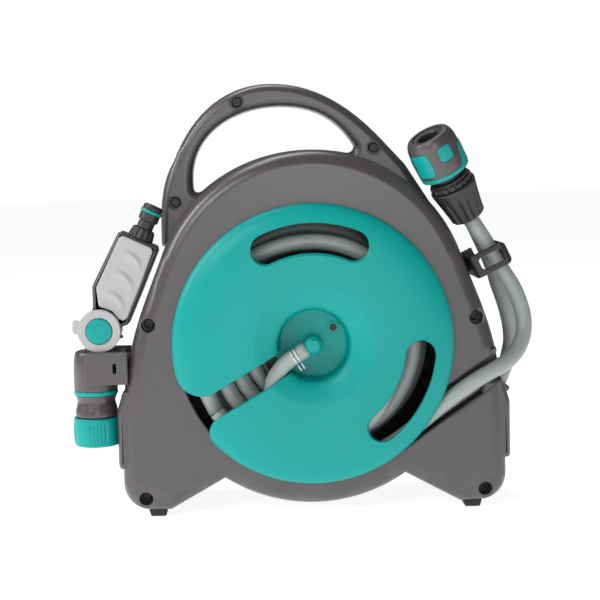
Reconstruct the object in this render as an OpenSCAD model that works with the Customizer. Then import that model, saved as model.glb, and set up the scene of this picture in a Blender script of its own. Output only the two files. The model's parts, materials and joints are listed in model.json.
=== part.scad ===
// Portable garden hose reel with a carry handle, a spray gun in a side holster,
// a coiled hose with a quick connector and a short inlet hose.
// Front faces -Y, +X is right, the feet stand on Z = 0.

/* [Housing] */
// Width of the housing over its feet
housing_w = 304; // [280:1:360]
// Height of the top of the arch
arch_top_z = 287; // [280:1:340]
// Radius of the arch
arch_r = 125; // [118:1:150]
// Height of the drum axis
axis_z = 136; // [130:1:160]
// Depth of the front shell, ahead of the parting plane
front_depth = 50; // [46:1:62]
// Depth of the rear shell, behind the parting plane
rear_depth = 56; // [54:1:70]
// Wall of both shells
wall = 3; // [2.4:0.1:3.6]
// Radius of the round opening that the drum shows through
opening_r = 106; // [106:1:110]
// Radius of the belly between the feet, about the drum axis
belly_r = 128; // [122:1:140]

/* [Handle] */
// Height of the top of the handle
handle_top_z = 340; // [335:1:400]
// Half the depth of the handle
handle_half_d = 17; // [14:1:20]

/* [Drum] */
// Radius of the front disc
disc_r = 110; // [109:1:120]
// Depth of the dome of the front disc
dome_d = 13; // [10:1:16]
// Outer radius of the winding core
core_r = 43; // [41:1:43]
// Radius of the hub well in the front disc
well_r = 28; // [25:1:30]
// Radius of the hollow drum shaft
shaft_r = 12; // [10:0.5:14]
// Radial clearance of the shaft in its bearings
shaft_gap = 0.05; // [0.02:0.01:0.1]

/* [Hose] */
// Outer diameter of the hose
hose_d = 13; // [11:0.5:14]
// Number of turns side by side on the drum
hose_columns = 6; // [4:1:6]

/* [Crank] */
// Distance from the drum axis to the knob hinge
crank_reach = 72; // [66:1:86]
// Radius of the crank knob
knob_r = 10.5; // [9:0.5:12]

/* [Spray gun] */
// Radius of the barrel
barrel_r = 17.2; // [15:0.2:19]
// Radius of the flow lever ring
lever_r = 16.8; // [15:0.2:18]
// Half the thickness of the grip
grip_half_t = 11; // [10:0.5:13]

/* [Quick connectors] */
// Outer radius of the release sleeve
sleeve_r = 20.5; // [19:0.5:22]
// Radius of the male nipple
nipple_r = 7.9; // [7.5:0.1:8.2]
// Radial clearance of a nipple in a connector
nipple_gap = 0.2; // [0.1:0.05:0.4]

/* [Hidden] */

$fn = 64;
eps = 0.01;            // overshoot of cuts
half_w = housing_w / 2;
arch_z = arch_top_z - arch_r;
base_z = 6;            // underside of the legs, over the feet
corner_r = 22;         // outer bottom corners
arch_end = 20;         // angle at which the arch runs into the flank
flank_z = 50;          // height at which the flank is widest
foot_in_x = half_w - 37;
belly_a = -56;         // where the belly meets the leg, about the drum axis
edge_r = 12;           // rounding of the front and rear edges
rear_plane = rear_depth;
front_plane = -front_depth;

gun_y = -28;           // middle plane of the spray gun
barrel_x = -half_w - 20.5;
barrel_top_z = 133;
barrel_low_z = 81;
lever_x = barrel_x + 6;
lever_z = 150;
grip_tilt = 25;
grip_low_v = 8;
grip_top_v = 78;
grip_half_u = 17;
head_r = barrel_r + 1.6;
head_low_z = 58;

arm_y = rear_plane + 12.5;    // middle plane of the crank arm
arm_half_t = 6;
knob_len = 36;
knob_half_w = knob_r + 1.5;

disc_back_y = front_plane - 1;
dome_y = disc_back_y - dome_d;
hub_y = dome_y + 11;          // plane of the hose end in the hub
coil_front_y = hub_y + hose_d / 2 + 0.5;
coil_back_y = coil_front_y + hose_columns * hose_d;
flange_y = coil_back_y + 0.7;
flange_t = 3;
flange_r = 103;
layer_r = core_r + 0.5 + 3 * hose_d;      // outside of three full layers
collar_y = flange_y + flange_t + 1;
collar_half_r = shaft_r + 9;
well_floor_y = coil_front_y + 6;
gland_r = 10.5;
gland_lean = 24;

// Hose routes, in the part's frame before the shift, as [x, y, z]
lead_route = [[-77, -44, 84], [-66, -44, 71], [-52, -44, 59], [-36, -44, 50], [-18, -44, 44], [2, -44, 41],
    [22, -44, 42], [42, -44, 46], [60, -44, 54], [75, -43.5, 64], [87, -43.5, 73], [98, -44.4, 82],
    [109, -47, 91], [120, -48, 99], [131, -48, 106], [143, -46, 112], [154, -42, 118], [163, -36, 126],
    [169, -29, 137], [170, -25, 150], [167, -23, 163], [162, -22, 175], [154.5, -22, 187],
    [147.5, -22, 199], [140.4, -22.6, 211], [133.2, -24, 222], [126.3, -25.4, 232.3]];
inlet_route = [[158, 20, 91], [162.5, 20, 101], [166, 19, 113], [168, 17, 126], [167, 15, 138],
    [164, 12, 151], [160, 9, 163], [155.5, 7, 175], [152, 6, 187], [147.5, 6, 199], [142, 6, 211],
    [137.3, 5.6, 221], [132.5, 5.2, 230.9]];
hub_route = [[-12, -53, 129], [-20, -53, 124], [-27, -53, 117], [-32, -53, 108], [-33, -53, 96],
    [-30, -53, 83], [-23, -53, 71], [-12, -53, 62], [2, -53, 58], [16, -53, 60], [31, -52.6, 67],
    [44, -51.6, 77], [54, -49, 90], [60, -45, 104]];

// Frames of the two quick connectors: end of the hose, turn about Z and lean from vertical
lead_end = [126.3, -25.4, 232.3];
lead_turn = 212;
lead_lean = 33;
supply_end = [132.5, 5.2, 230.9];
supply_turn = 183;
supply_lean = 27;

// The model's origin is under the middle of its box without the hoses, so everything moves by this much
left_x = barrel_x - head_r;
right_x = inlet_route[0][0] + gland_r * cos(gland_lean);
back_y = arm_y + knob_r;
shift = [-(left_x + right_x) / 2, -(dome_y + back_y) / 2, 0];

teal = [0.0, 0.62, 0.58];
dark = [0.27, 0.25, 0.26];
black = [0.12, 0.12, 0.13];
grey = [0.62, 0.66, 0.66];
pale = [0.80, 0.80, 0.82];
steel = [0.75, 0.76, 0.78];

// ---------- curves ----------
function bezier(p, q, r, s, n) = [for (i = [1:n]) let (t = i / n, u = 1 - t)
    u * u * u * p + 3 * u * u * t * q + 3 * u * t * t * r + t * t * t * s];
function arc(c, r, a, b, n) = [for (i = [0:n]) let (t = a + (b - a) * i / n)
    [c[0] + r * cos(t), c[1] + r * sin(t)]];
function mirrored(pts) = [for (i = [len(pts) - 1:-1:0]) if (abs(pts[i][0]) > 0.5) [-pts[i][0], pts[i][1]]];
function left_of(v) = [-v[1], v[0]] / norm(v);

// Moves every corner of a clockwise outline inwards by d
function inset(pts, d) = let (n = len(pts)) [for (i = [0:n - 1])
    let (a = left_of(pts[i] - pts[(i + n - 1) % n]), b = left_of(pts[(i + 1) % n] - pts[i]))
    pts[i] - d * (a + b) / (1 + a * b)];

// ---------- outlines in X and Z ----------
flank_top = [arch_r * cos(arch_end), arch_z + arch_r * sin(arch_end)];
right_half = concat(
    arc([0, arch_z], arch_r, 90, arch_end, 14),
    bezier(flank_top, flank_top + [18, -46], [half_w, flank_z + 80], [half_w, flank_z], 8),
    arc([half_w - corner_r, base_z + corner_r], corner_r, 0, -90, 6),
    [[foot_in_x, base_z]],
    arc([0, axis_z], belly_r, belly_a, -90, 6));
body_outline = concat(right_half, mirrored(right_half));

handle_foot = [118, 212];
handle_outline = concat([[-118, 214]],
    bezier([-118, 214], [-118, 240], [-118, 262], [-106, handle_top_z - 59], 6),
    bezier([-106, handle_top_z - 59], [-90, handle_top_z - 20], [-62, handle_top_z],
           [-29, handle_top_z], 8),
    bezier([-29, handle_top_z], [8, handle_top_z], [36, handle_top_z - 20],
           [60, handle_top_z - 46], 8),
    [[78, handle_top_z - 65.6], handle_foot, [60, 180], [-60, 180]]);
opening_outline = concat([[-92, 260]],
    bezier([-92, 260], [-95, 300], [-60, handle_top_z - 17.5], [-22, handle_top_z - 17.5], 9),
    bezier([-22, handle_top_z - 17.5], [10, handle_top_z - 17.5], [26, 309], [38, 291], 7),
    bezier([38, 291], [40, 287], [36, 284], [31, 284.5], 3),
    bezier([31, 284.5], [-10, 293], [-52, 284], [-84, 257], 7),
    bezier([-84, 257], [-88, 254], [-92, 255], [-92, 259], 3));

// ---------- solids from outlines ----------
// A closed solid through rings of equal point counts; each ring is [outline, y]
module loft(rings) {
    n = len(rings[0][0]);
    m = len(rings);
    points = [for (r = rings) for (p = r[0]) [p[0], r[1], p[1]]];
    sides = [for (k = [0:m - 2]) for (i = [0:n - 1]) let (j = (i + 1) % n)
        [k * n + i, k * n + j, (k + 1) * n + j, (k + 1) * n + i]];
    first = [for (i = [n - 1:-1:0]) i];
    last = [for (i = [0:n - 1]) (m - 1) * n + i];
    polyhedron(points, concat(sides, [first, last]), convexity = 8);
}

// Extrudes children drawn in X and Z from y0 to y1
module along_y(y0, y1) {
    translate([0, y1, 0]) rotate([90, 0, 0]) linear_extrude(y1 - y0, convexity = 8) children();
}

module cyl_y(x, z, r, y0, y1) {
    translate([x, y1, z]) rotate([90, 0, 0]) cylinder(r = r, h = y1 - y0);
}

module ring_y(x, z, r, bore, y0, y1) {
    difference() {
        cyl_y(x, z, r, y0, y1);
        cyl_y(x, z, bore, y0 - 1, y1 + 1);
    }
}

// Half a body with rounded outer edges, from the parting plane to y; s is -1 to the front
module rounded_half(depth, s, d) {
    flat = depth - d;
    rings = [[inset(body_outline, d), 0], [inset(body_outline, d), s * (flat - edge_r)],
        [inset(body_outline, d + 1.6), s * (flat - 6)], [inset(body_outline, d + 5.2), s * (flat - 1.8)],
        [inset(body_outline, d + edge_r), s * flat]];
    if (s < 0) loft(rings);
    else mirror([0, 1, 0]) loft([for (r = rings) [r[0], -r[1]]]);
}

// ---------- swept tube ----------
function unit(v) = v / norm(v);
function heading(p, i) = unit(p[min(i + 1, len(p) - 1)] - p[max(i - 1, 0)]);
module tube(p, r, sides = 10) {
    n = len(p);
    points = [for (i = [0:n - 1])
        let (t = heading(p, i), u = unit(cross(t, [0, 1, 0])), v = cross(u, t))
        for (k = [0:sides - 1]) p[i] + r * (cos(360 * k / sides) * u + sin(360 * k / sides) * v)];
    walls = [for (i = [0:n - 2]) for (k = [0:sides - 1]) let (l = (k + 1) % sides)
        [i * sides + k, i * sides + l, (i + 1) * sides + l, (i + 1) * sides + k]];
    first = [for (k = [sides - 1:-1:0]) k];
    last = [for (k = [0:sides - 1]) (n - 1) * sides + k];
    polyhedron(points, concat(walls, [first, last]), convexity = 8);
}

function length(p, i = 0) = i < len(p) - 1 ? norm(p[i + 1] - p[i]) + length(p, i + 1) : 0;

// ---------- housing ----------
// Screw places in X and Z: four on the body, three on the handle
body_screws = [[-128, 154], [128, 154], [-half_w + 18, 17], [half_w - 18, 17]];
handle_screws = [[-55, 326], [-106, 248], [53, 288]];
recess_r = 5.5;
screw_r = 2;
boss_r = 7.5;

// The groove that the hose leaves the housing through
groove_start = [76, 66];
groove_tilt = 34;
groove_floor_y = front_plane + 13;

module groove(grow, y0, y1) {
    translate([groove_start[0], 0, groove_start[1]]) rotate([0, -groove_tilt, 0])
        translate([-28 - grow, y0, -9 - grow]) cube([126, y1 - y0, 21 + 2 * grow]);
}

module handle_half(y0, y1, d) {
    along_y(y0, y1) difference() {
        polygon(inset(handle_outline, d));
        polygon(inset(opening_outline, -d));
    }
}

module front_shell() color(dark) translate(shift) difference() {
    union() {
        difference() {
            union() {
                rounded_half(front_depth, -1, 0);
                handle_half(-handle_half_d, 0, 0);
                for (s = [-1, 1]) lug(s, front_plane + 2, -38, 41, 104, 2.8, 18, -2.5);
            }
            rounded_half(front_depth, -1, wall);
            handle_half(-handle_half_d + wall, eps, wall);
        }
        for (p = body_screws) cyl_y(p[0], p[1], boss_r, front_plane + wall, 0);
        for (p = handle_screws) cyl_y(p[0], p[1], boss_r, -handle_half_d + 1, 0);
        intersection() {
            rounded_half(front_depth, -1, 0.1);
            groove(wall, front_plane - 1, groove_floor_y + wall);
        }
    }
    groove(0, front_plane - 5, groove_floor_y);
    cyl_y(0, axis_z, opening_r, front_plane - 5, 1);
    for (p = body_screws) {
        cyl_y(p[0], p[1], recess_r, front_plane - 5, front_plane + 16);
        cyl_y(p[0], p[1], screw_r + 0.3, front_plane - 5, 1);
    }
    for (p = handle_screws) {
        cyl_y(p[0], p[1], recess_r, -handle_half_d - 5, -handle_half_d + 6);
        cyl_y(p[0], p[1], screw_r + 0.3, -handle_half_d - 5, 1);
    }
}

screw_grip = 14;       // length of a screw in its rear boss
module rear_shell() color(dark) translate(shift) difference() {
    union() {
        difference() {
            union() {
                rounded_half(rear_depth, 1, 0);
                handle_half(0, handle_half_d, 0);
                for (s = [-1, 1]) lug(s, 4, 40, 28, 84, 8, 34, 4);
            }
            rounded_half(rear_depth, 1, wall);
            handle_half(-eps, handle_half_d - wall, wall);
        }
        for (p = body_screws) cyl_y(p[0], p[1], 5, 0, rear_plane - 1);
        for (p = handle_screws) cyl_y(p[0], p[1], 5, 0, handle_half_d - 1);
    }
    cyl_y(0, axis_z, shaft_r + 3, collar_y, rear_plane + 5);
    cyl_y(0, axis_z, opening_r, -1, handle_half_d + 1);
    for (a = [45:90:315])
        cyl_y((collar_half_r + 6) * cos(a), axis_z + (collar_half_r + 6) * sin(a), 1.6,
              rear_plane - 6, rear_plane + 5);
    for (p = body_screws) cyl_y(p[0], p[1], screw_r + 0.05, -1, screw_grip + 0.5);
    for (p = handle_screws) cyl_y(p[0], p[1], screw_r + 0.05, -1, 11.5);
    gland_place() translate([0, 0, -38]) cylinder(r = 7.2, h = 68);
}

// A flat-bottomed lug on a flank, narrowing over its taper to its reach at the top
module lug(s, y0, y1, low_z, top_z, reach, taper, top_reach) {
    along_y(y0, y1) polygon([[s * (half_w - 20), low_z], [s * (half_w + reach), low_z],
        [s * (half_w + reach), top_z - taper], [s * (half_w + top_reach), top_z],
        [s * (half_w - 20), top_z]]);
}

module screw_y(x, z, head, y0, y1) {
    cyl_y(x, z, head, y0, y0 + 2.4);
    cyl_y(x, z, screw_r, y0 + 2, y1);
}

module housing_screws() color(black) translate(shift) {
    for (p = body_screws) difference() {
        screw_y(p[0], p[1], 4.2, front_plane + 16 - 2.4, screw_grip);
        cross_recess(p, front_plane + 16 - 2.4);
    }
    for (p = handle_screws) difference() {
        screw_y(p[0], p[1], 4.2, -handle_half_d + 6 - 2.4, 11);
        cross_recess(p, -handle_half_d + 6 - 2.4);
    }
}

module cross_recess(p, y) {
    translate([p[0], y, p[1]]) {
        cube([4.4, 2.4, 1], center = true);
        cube([1, 2.4, 4.4], center = true);
    }
}

foot_x = half_w - 26.5;
module feet() color(black) translate(shift)
    for (s = [-1, 1], y = [-30, 32]) along_y(y - 9, y + 9)
        polygon([[s * foot_x - 8, base_z + 1.5], [s * foot_x + 8, base_z + 1.5],
                 [s * foot_x + 6, 0], [s * foot_x - 6, 0]]);

// ---------- hose clip and holster ----------
clip_tilt = 26;
clip_at = [127, 190];  // root of the clip on the flank
clip_w = 19;
clip_reach = 33;
clip_y0 = -36;
clip_y1 = 19;
module clip_frame() {
    translate([clip_at[0], 0, clip_at[1]]) rotate([0, -clip_tilt, 0]) children();
}

module hose_clip() color(black) translate(shift) clip_frame() difference() {
    union() {
        along_y(clip_y0, clip_y1) hull() {
            translate([clip_reach - 6, clip_w / 2 - 6]) circle(r = 6, $fn = 48);
            translate([clip_reach - 6, 6 - clip_w / 2]) circle(r = 6, $fn = 48);
            translate([1.5, -clip_w / 2]) square([5, clip_w]);
        }
        translate([-9, 6, -clip_w / 2 + 3]) cube([12, 8, clip_w - 6]);
    }
    translate([4, clip_y0 + 3, -clip_w]) cube([clip_reach - 7, clip_y1 - clip_y0 - 6, 2 * clip_w]);
    translate([8, clip_y0 - 1, -clip_w / 2 + 4.5]) cube([clip_reach - 12.5, 6, clip_w - 9]);
    translate([14, clip_y1 - 5, -clip_w]) cube([8, 6, 2 * clip_w]);
}

holster_z0 = 108;
holster_z1 = 134;
plate_t = 3;
flank_x = 143.5;       // flank at the height of the holster
module holster() color(dark) translate(shift) difference() {
    union() {
        for (y = [gun_y - barrel_r - 0.8 - plate_t, gun_y + barrel_r + 0.8])
            along_y(y, y + plate_t) holster_plate();
        translate([-flank_x - 8.5, gun_y - barrel_r - 0.8 - plate_t, holster_z0 + 2])
            cube([3, 2 * (barrel_r + 0.8 + plate_t), holster_z1 - holster_z0 - 4]);
        translate([-flank_x - 6, gun_y - 8, holster_z0 + 4]) cube([10, 16, holster_z1 - holster_z0 - 8]);
    }
    translate([barrel_x, gun_y, holster_z0 - 5]) cylinder(r = barrel_r + 0.8, h = 40);
    translate([-flank_x - 12, gun_y, holster_z0 + 13]) rotate([0, 90, 0]) cylinder(r = 1.6, h = 14);
}

module holster_plate() {
    hull() {
        translate([barrel_x - 1, holster_z0 + 5]) circle(r = 5, $fn = 32);
        translate([barrel_x - 1, holster_z1 - 5]) circle(r = 5, $fn = 32);
        translate([-flank_x - 6, holster_z0]) square([4.5, holster_z1 - holster_z0]);
    }
}

module holster_screws() color(black) translate(shift)
    translate([-flank_x - 8.4, gun_y, holster_z0 + 13]) rotate([0, 90, 0]) {
        cylinder(r = 1.5, h = 8);
    }

// ---------- drum ----------
slot_w = 18.2;
slot_a = 210;
window_r = 83.5;
window_half = 11.4;

// An arc window with round ends, from angle a to angle b, cut along Y
module arc_window(a, b) {
    intersection() {
        ring_y(0, axis_z, window_r + window_half, window_r - window_half, dome_y - 5, disc_back_y + 5);
        along_y(dome_y - 6, disc_back_y + 6) translate([0, axis_z])
            polygon(concat([[0, 0]], arc([0, 0], 150, a, b, 8)));
    }
    for (t = [a, b])
        cyl_y(window_r * cos(t), axis_z + window_r * sin(t), window_half, dome_y - 5, disc_back_y + 5);
}

// Section of the domed disc, radius across and depth up, revolved about the drum axis
module disc_section() {
    polygon([[well_r + 16, 1.2], [well_r + 20, 0], [76, 0.4], [96, 2.6], [104, 5.8], [disc_r - 1.2, 9.6],
        [disc_r, 12], [disc_r, dome_d], [disc_r - 2.6, dome_d], [disc_r - 4, 11.4], [102, 8.6],
        [94, 5.4], [76, 3.2], [well_r + 20, 2.8], [well_r + 14, 4.4], [well_r + 5, 8],
        [well_r + 3, 14], [well_r + 3, well_floor_y - dome_y + 3], [0, well_floor_y - dome_y + 3],
        [0, well_floor_y - dome_y], [well_r - 4, well_floor_y - dome_y],
        [well_r, well_floor_y - dome_y - 4], [well_r, 12], [well_r + 3, 6.4], [well_r + 9, 3]]);
}

module front_disc() color(teal) translate(shift) difference() {
    translate([0, dome_y, axis_z]) rotate([-90, 0, 0]) rotate_extrude() disc_section();
    arc_window(67, 115);
    arc_window(-51, -6.5);
    translate([0, 0, axis_z]) rotate([0, -slot_a, 0])
        translate([17, dome_y - 5, -slot_w / 2]) cube([disc_r, well_floor_y - dome_y + 4.9, slot_w]);
    for (s = [0, 180]) cyl_y(hub_screw_r * cos(hub_screw_a + s), axis_z + hub_screw_r * sin(hub_screw_a + s),
        2.3, well_floor_y - 1, well_floor_y + 5);
    cyl_y(0, axis_z, 5.1, well_floor_y - 1, well_floor_y + 5);
}

hub_screw_r = 20;
hub_screw_a = 37;
core_front_y = well_floor_y + 3;
module drum_core() color(dark) translate(shift) difference() {
    union() {
        ring_y(0, axis_z, core_r, core_r - 3, coil_front_y + 2, flange_y);
        cyl_y(0, axis_z, core_r - 1, core_front_y, core_front_y + 3);
        ring_y(0, axis_z, core_r - 1, shaft_r + 0.1, flange_y - 3, flange_y);
        for (s = [0, 180]) cyl_y(hub_screw_r * cos(hub_screw_a + s),
            axis_z + hub_screw_r * sin(hub_screw_a + s), 5, core_front_y, core_front_y + 16);
    }
    for (s = [0, 180]) cyl_y(hub_screw_r * cos(hub_screw_a + s),
        axis_z + hub_screw_r * sin(hub_screw_a + s), 1.55, core_front_y - 1, core_front_y + 13);
    cyl_y(0, axis_z, 5.1, core_front_y - 1, core_front_y + 5);
    for (a = [0:60:300])
        cyl_y(flange_screw_r * cos(a), axis_z + flange_screw_r * sin(a), 1.55, flange_y - 4, flange_y + 1);
}

flange_screw_r = 32;
module rear_flange() color(dark) translate(shift) difference() {
    union() {
        ring_y(0, axis_z, flange_r, shaft_r + 0.02, flange_y, flange_y + flange_t);
        for (a = [0:30:330]) translate([0, 0, axis_z]) rotate([0, a, 0])
            translate([50, flange_y + flange_t - eps, -1]) cube([46, 1.2, 2]);
    }
    for (a = [0:60:300])
        cyl_y(flange_screw_r * cos(a), axis_z + flange_screw_r * sin(a), 1.8, flange_y - 1, flange_y + 6);
}

module flange_screws() color(steel) translate(shift)
    for (a = [0:60:300]) translate([flange_screw_r * cos(a), flange_y - 3.5, axis_z + flange_screw_r * sin(a)])
        rotate([-90, 0, 0]) {
            cylinder(r = 1.5, h = 6.5);
            translate([0, 0, 6.5]) cylinder(r = 3, h = 1.6);
        }

// Elbow that carries the water out of the shaft into the hose end
module hub_barb() color(teal) translate(shift) {
    difference() {
        union() {
            cyl_y(0, axis_z, 5, hub_y + 3, flange_y - 6);
            translate([0, hub_y, axis_z]) sphere(r = 7.5);
            cyl_y(0, axis_z, 7, hub_y, well_floor_y - 0.2);
        }
        cyl_y(0, axis_z, 3, hub_y, flange_y - 5);
        barb_line() cylinder(r = 2.4, h = 30);
    }
    barb_line() difference() {
        union() {
            translate([0, 0, 6]) cylinder(r = 4.6, h = 5);
            for (z = [11, 15, 19]) translate([0, 0, z]) cylinder(r1 = 4.9, r2 = 4.1, h = 4);
        }
        translate([0, 0, 4]) cylinder(r = 2.4, h = 30);
    }
}

module barb_line() {
    translate([0, hub_y, axis_z]) rotate([0, -slot_a, 0]) rotate([0, 90, 0]) children();
}

module hub_screws() color(steel) translate(shift)
    for (s = [0, 180]) translate([hub_screw_r * cos(hub_screw_a + s), well_floor_y - 2,
                                  axis_z + hub_screw_r * sin(hub_screw_a + s)])
        rotate([-90, 0, 0]) difference() {
            union() {
                cylinder(r = 3.4, h = 2);
                cylinder(r = 1.5, h = 15);
            }
            translate([0, 0, -1]) cylinder(r = 1.4, h = 2.2, $fn = 6);
        }

// Double wire clamp round the hose end
module hose_clamp() color(steel) translate(shift) barb_line()
    for (z = [15.5, 19]) translate([0, 0, z]) rotate_extrude()
        translate([hose_d / 2 + 0.8, 0]) circle(r = 0.75, $fn = 16);

module drum_shaft() color(black) translate(shift) difference() {
    union() {
        cyl_y(0, axis_z, shaft_r, flange_y - 12, arm_y - arm_half_t);
        cyl_y(0, axis_z, shaft_r + 3, flange_y - 12, flange_y - 3.2);
        translate([-6, arm_y - arm_half_t - 1, axis_z - 6]) cube([12, 8, 12]);
    }
    cyl_y(0, axis_z, 5.1, flange_y - 13, collar_mid_y + 2);
    translate([0, collar_mid_y, axis_z]) for (a = [0, 90]) rotate([0, a, 0])
        cylinder(r = 2.5, h = 2 * shaft_r + 10, center = true);
    for (y = [collar_mid_y - 5.5, collar_mid_y + 5.5])
        ring_y(0, axis_z, shaft_r + 1, shaft_r - 1.6, y - 1.1, y + 1.1);
    ring_y(0, axis_z, shaft_r + 1, shaft_r - 1, clip_ring_y - 0.7, clip_ring_y + 0.7);
    cyl_y(0, axis_z, 1.6, arm_y - arm_half_t - 12, arm_y + 10);
}

// Stationary collar that feeds water into the turning shaft
collar_mid_y = collar_y + 8;
collar_len = 16;
clip_ring_y = rear_plane + 1.7;
module swivel_collar() color(teal) translate(shift) difference() {
    union() {
        cyl_y(0, axis_z, collar_half_r - 3, collar_y, collar_y + collar_len);
        cyl_y(0, axis_z, collar_half_r + 9, collar_y + collar_len - 3, collar_y + collar_len);
        translate([0, collar_mid_y, axis_z]) rotate([0, 90, 0]) cylinder(r = 6.5, h = collar_half_r + 9);
    }
    cyl_y(0, axis_z, shaft_r + shaft_gap, collar_y - 1, collar_y + collar_len + 1);
    ring_y(0, axis_z, shaft_r + 2, 2, collar_mid_y - 2.5, collar_mid_y + 2.5);
    translate([0, collar_mid_y, axis_z]) rotate([0, 90, 0]) cylinder(r = 4, h = collar_half_r + 12);
    for (a = [45:90:315])
        cyl_y((collar_half_r + 6) * cos(a), axis_z + (collar_half_r + 6) * sin(a), 1.55,
              collar_y + collar_len - 4, rear_plane + 5);
}

module collar_screws() color(steel) translate(shift)
    for (a = [45:90:315])
        translate([(collar_half_r + 6) * cos(a), rear_plane - 5, axis_z + (collar_half_r + 6) * sin(a)])
            rotate([-90, 0, 0]) {
                cylinder(r = 1.5, h = 5.1);
                translate([0, 0, 5.1]) cylinder(r = 3, h = 1.2);
            }

module shaft_seals() color(black) translate(shift)
    for (y = [collar_mid_y - 5.5, collar_mid_y + 5.5]) translate([0, y, axis_z]) rotate([90, 0, 0])
        rotate_extrude() translate([shaft_r - 0.85, 0]) circle(r = 0.7, $fn = 24);

module retaining_ring() color(steel) translate(shift) difference() {
    ring_y(0, axis_z, shaft_r + 3, shaft_r - 0.9, clip_ring_y - 0.6, clip_ring_y + 0.6);
    translate([-3, clip_ring_y - 2, axis_z - shaft_r - 6]) cube([6, 4, 8]);
}

module rear_bush() color(pale) translate(shift) {
    ring_y(0, axis_z, shaft_r + 2.95, shaft_r + shaft_gap, rear_plane - wall, rear_plane + 0.9);
    ring_y(0, axis_z, shaft_r + 5, shaft_r + shaft_gap, rear_plane + 0.05, rear_plane + 0.9);
}

// Pipe inside the rear shell from the swivel collar to the gland
pipe_points = [[collar_half_r + 9.4, collar_mid_y, axis_z], [58, collar_mid_y, axis_z],
               [96, collar_mid_y, 92], [120, 36, 58], [141.5, 20, 55.5], [147.3, 20, 66.9]];
module rod(p, q, r) {
    d = q - p;
    translate(p) rotate([0, acos(d[2] / norm(d)), atan2(d[1], d[0])]) cylinder(r = r, h = norm(d));
}

module supply_pipe() color(black) translate(shift) {
    for (i = [0:len(pipe_points) - 2]) rod(pipe_points[i], pipe_points[i + 1], 5.5);
    for (i = [1:len(pipe_points) - 2]) translate(pipe_points[i]) sphere(r = 6.2);
}

module gland_place() {
    translate(inlet_route[0]) rotate([0, gland_lean, 0]) children();
}

module inlet_gland() color(black) translate(shift) gland_place() difference() {
    union() {
        translate([0, 0, -26]) cylinder(r = 7, h = 22);
        translate([0, 0, -4]) cylinder(r = gland_r, h = 3.8);
    }
    translate([0, 0, -27]) cylinder(r = 4, h = 30);
}

// ---------- crank ----------
module crank_arm() color(dark) translate(shift) difference() {
    union() {
        hull() {
            cyl_y(0, axis_z, 17, arm_y - arm_half_t, arm_y + arm_half_t);
            cyl_y(crank_reach, axis_z, knob_half_w + 4, arm_y - arm_half_t, arm_y + arm_half_t);
        }
    }
    translate([crank_reach - knob_len - 8.5, arm_y - 20, axis_z - knob_half_w])
        cube([knob_len + 40, 40, 2 * knob_half_w]);
    translate([-6.1, arm_y - arm_half_t - 1, axis_z - 6.1]) cube([12.2, 8.1, 12.2]);
    cyl_y(0, axis_z, 2.1, arm_y - 20, arm_y + 20);
    translate([crank_reach, arm_y, axis_z]) cylinder(r = 2.55, h = 60, center = true);
}

module crank_screw() color(steel) translate(shift) {
    cyl_y(0, axis_z, 1.5, arm_y - arm_half_t - 10, arm_y + arm_half_t);
    cyl_y(0, axis_z, 4.5, arm_y + arm_half_t, arm_y + arm_half_t + 2.4);
}

module knob_hinge_pin() color(steel) translate(shift)
    translate([crank_reach, arm_y, axis_z - knob_half_w - 3.5]) cylinder(r = 2.5, h = 2 * knob_half_w + 7);

module knob_bracket() color(black) translate(shift) {
    difference() {
        union() {
            translate([crank_reach, arm_y, axis_z]) cylinder(r = 5.4, h = 2 * knob_half_w - 1, center = true);
            translate([crank_reach - 9, arm_y - 3.5, axis_z - 6]) cube([6, 7, 12]);
            translate([crank_reach - 8, arm_y, axis_z]) rotate([0, -90, 0]) cylinder(r = 3, h = knob_len - 1);
        }
        translate([crank_reach, arm_y, axis_z]) cylinder(r = 2.56, h = 60, center = true);
    }
}

module crank_knob() color(teal) translate(shift)
    translate([crank_reach - 9.4, arm_y, axis_z]) rotate([0, -90, 0]) difference() {
        rotate_extrude() polygon([[3.06, 0], [knob_r - 2, 0], [knob_r, 4], [knob_r - 1.5, 18],
            [knob_r - 0.5, knob_len - 6], [knob_r - 3.5, knob_len - 2.4], [3.06, knob_len - 2.4]]);
        for (a = [0:45:315]) rotate([0, 0, a]) translate([knob_r + 1.2, 0, 4]) cylinder(r = 1.9, h = 22);
    }

// ---------- spray gun ----------
module gun_frame() {
    translate([lever_x, 0, lever_z]) rotate([0, grip_tilt, 0]) children();
}

function grip_outline(d) = inset([[-grip_half_u + 2, grip_top_v], [grip_half_u - 2, grip_top_v],
    [grip_half_u, grip_top_v - 3], [grip_half_u + 1, 40], [grip_half_u + 1.5, grip_low_v + 5],
    [13, grip_low_v], [2, -6], [-12, 2], [-12, 14], [-grip_half_u - 2, 29], [-grip_half_u - 2, 33],
    [-grip_half_u, grip_top_v - 2]], d);

module grip_body(y0, y1, d) {
    gun_frame() along_y(y0, y1) union() {
        polygon(grip_outline(d));
        circle(r = lever_r - 0.8 - d);
    }
}

gun_screw_v = [24, 66];
module gun_hole(v, r, y0, y1) {
    gun_frame() cyl_y(0, v, r, y0, y1);
}

module gun_openings() {
    gun_frame() {
        translate([0, gun_y, grip_top_v - 5]) cylinder(r = 6.1, h = 12);
    }
    translate([barrel_x, gun_y, barrel_top_z - 2]) cylinder(r = 8.1, h = 11);
}

module gun_front_shell() color(dark) translate(shift) difference() {
    union() {
        difference() {
            grip_body(gun_y - grip_half_t, gun_y, 0);
            grip_body(gun_y - grip_half_t + 2.2, gun_y + 1, 2.2);
        }
        for (v = gun_screw_v) gun_hole(v, 4, gun_y - grip_half_t + 1, gun_y);
    }
    gun_openings();
    for (v = gun_screw_v) gun_hole(v, 1.4, gun_y - 8, gun_y + 1);
    gun_hole(0, 4.1, gun_y - grip_half_t - 1, gun_y);
}

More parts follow.
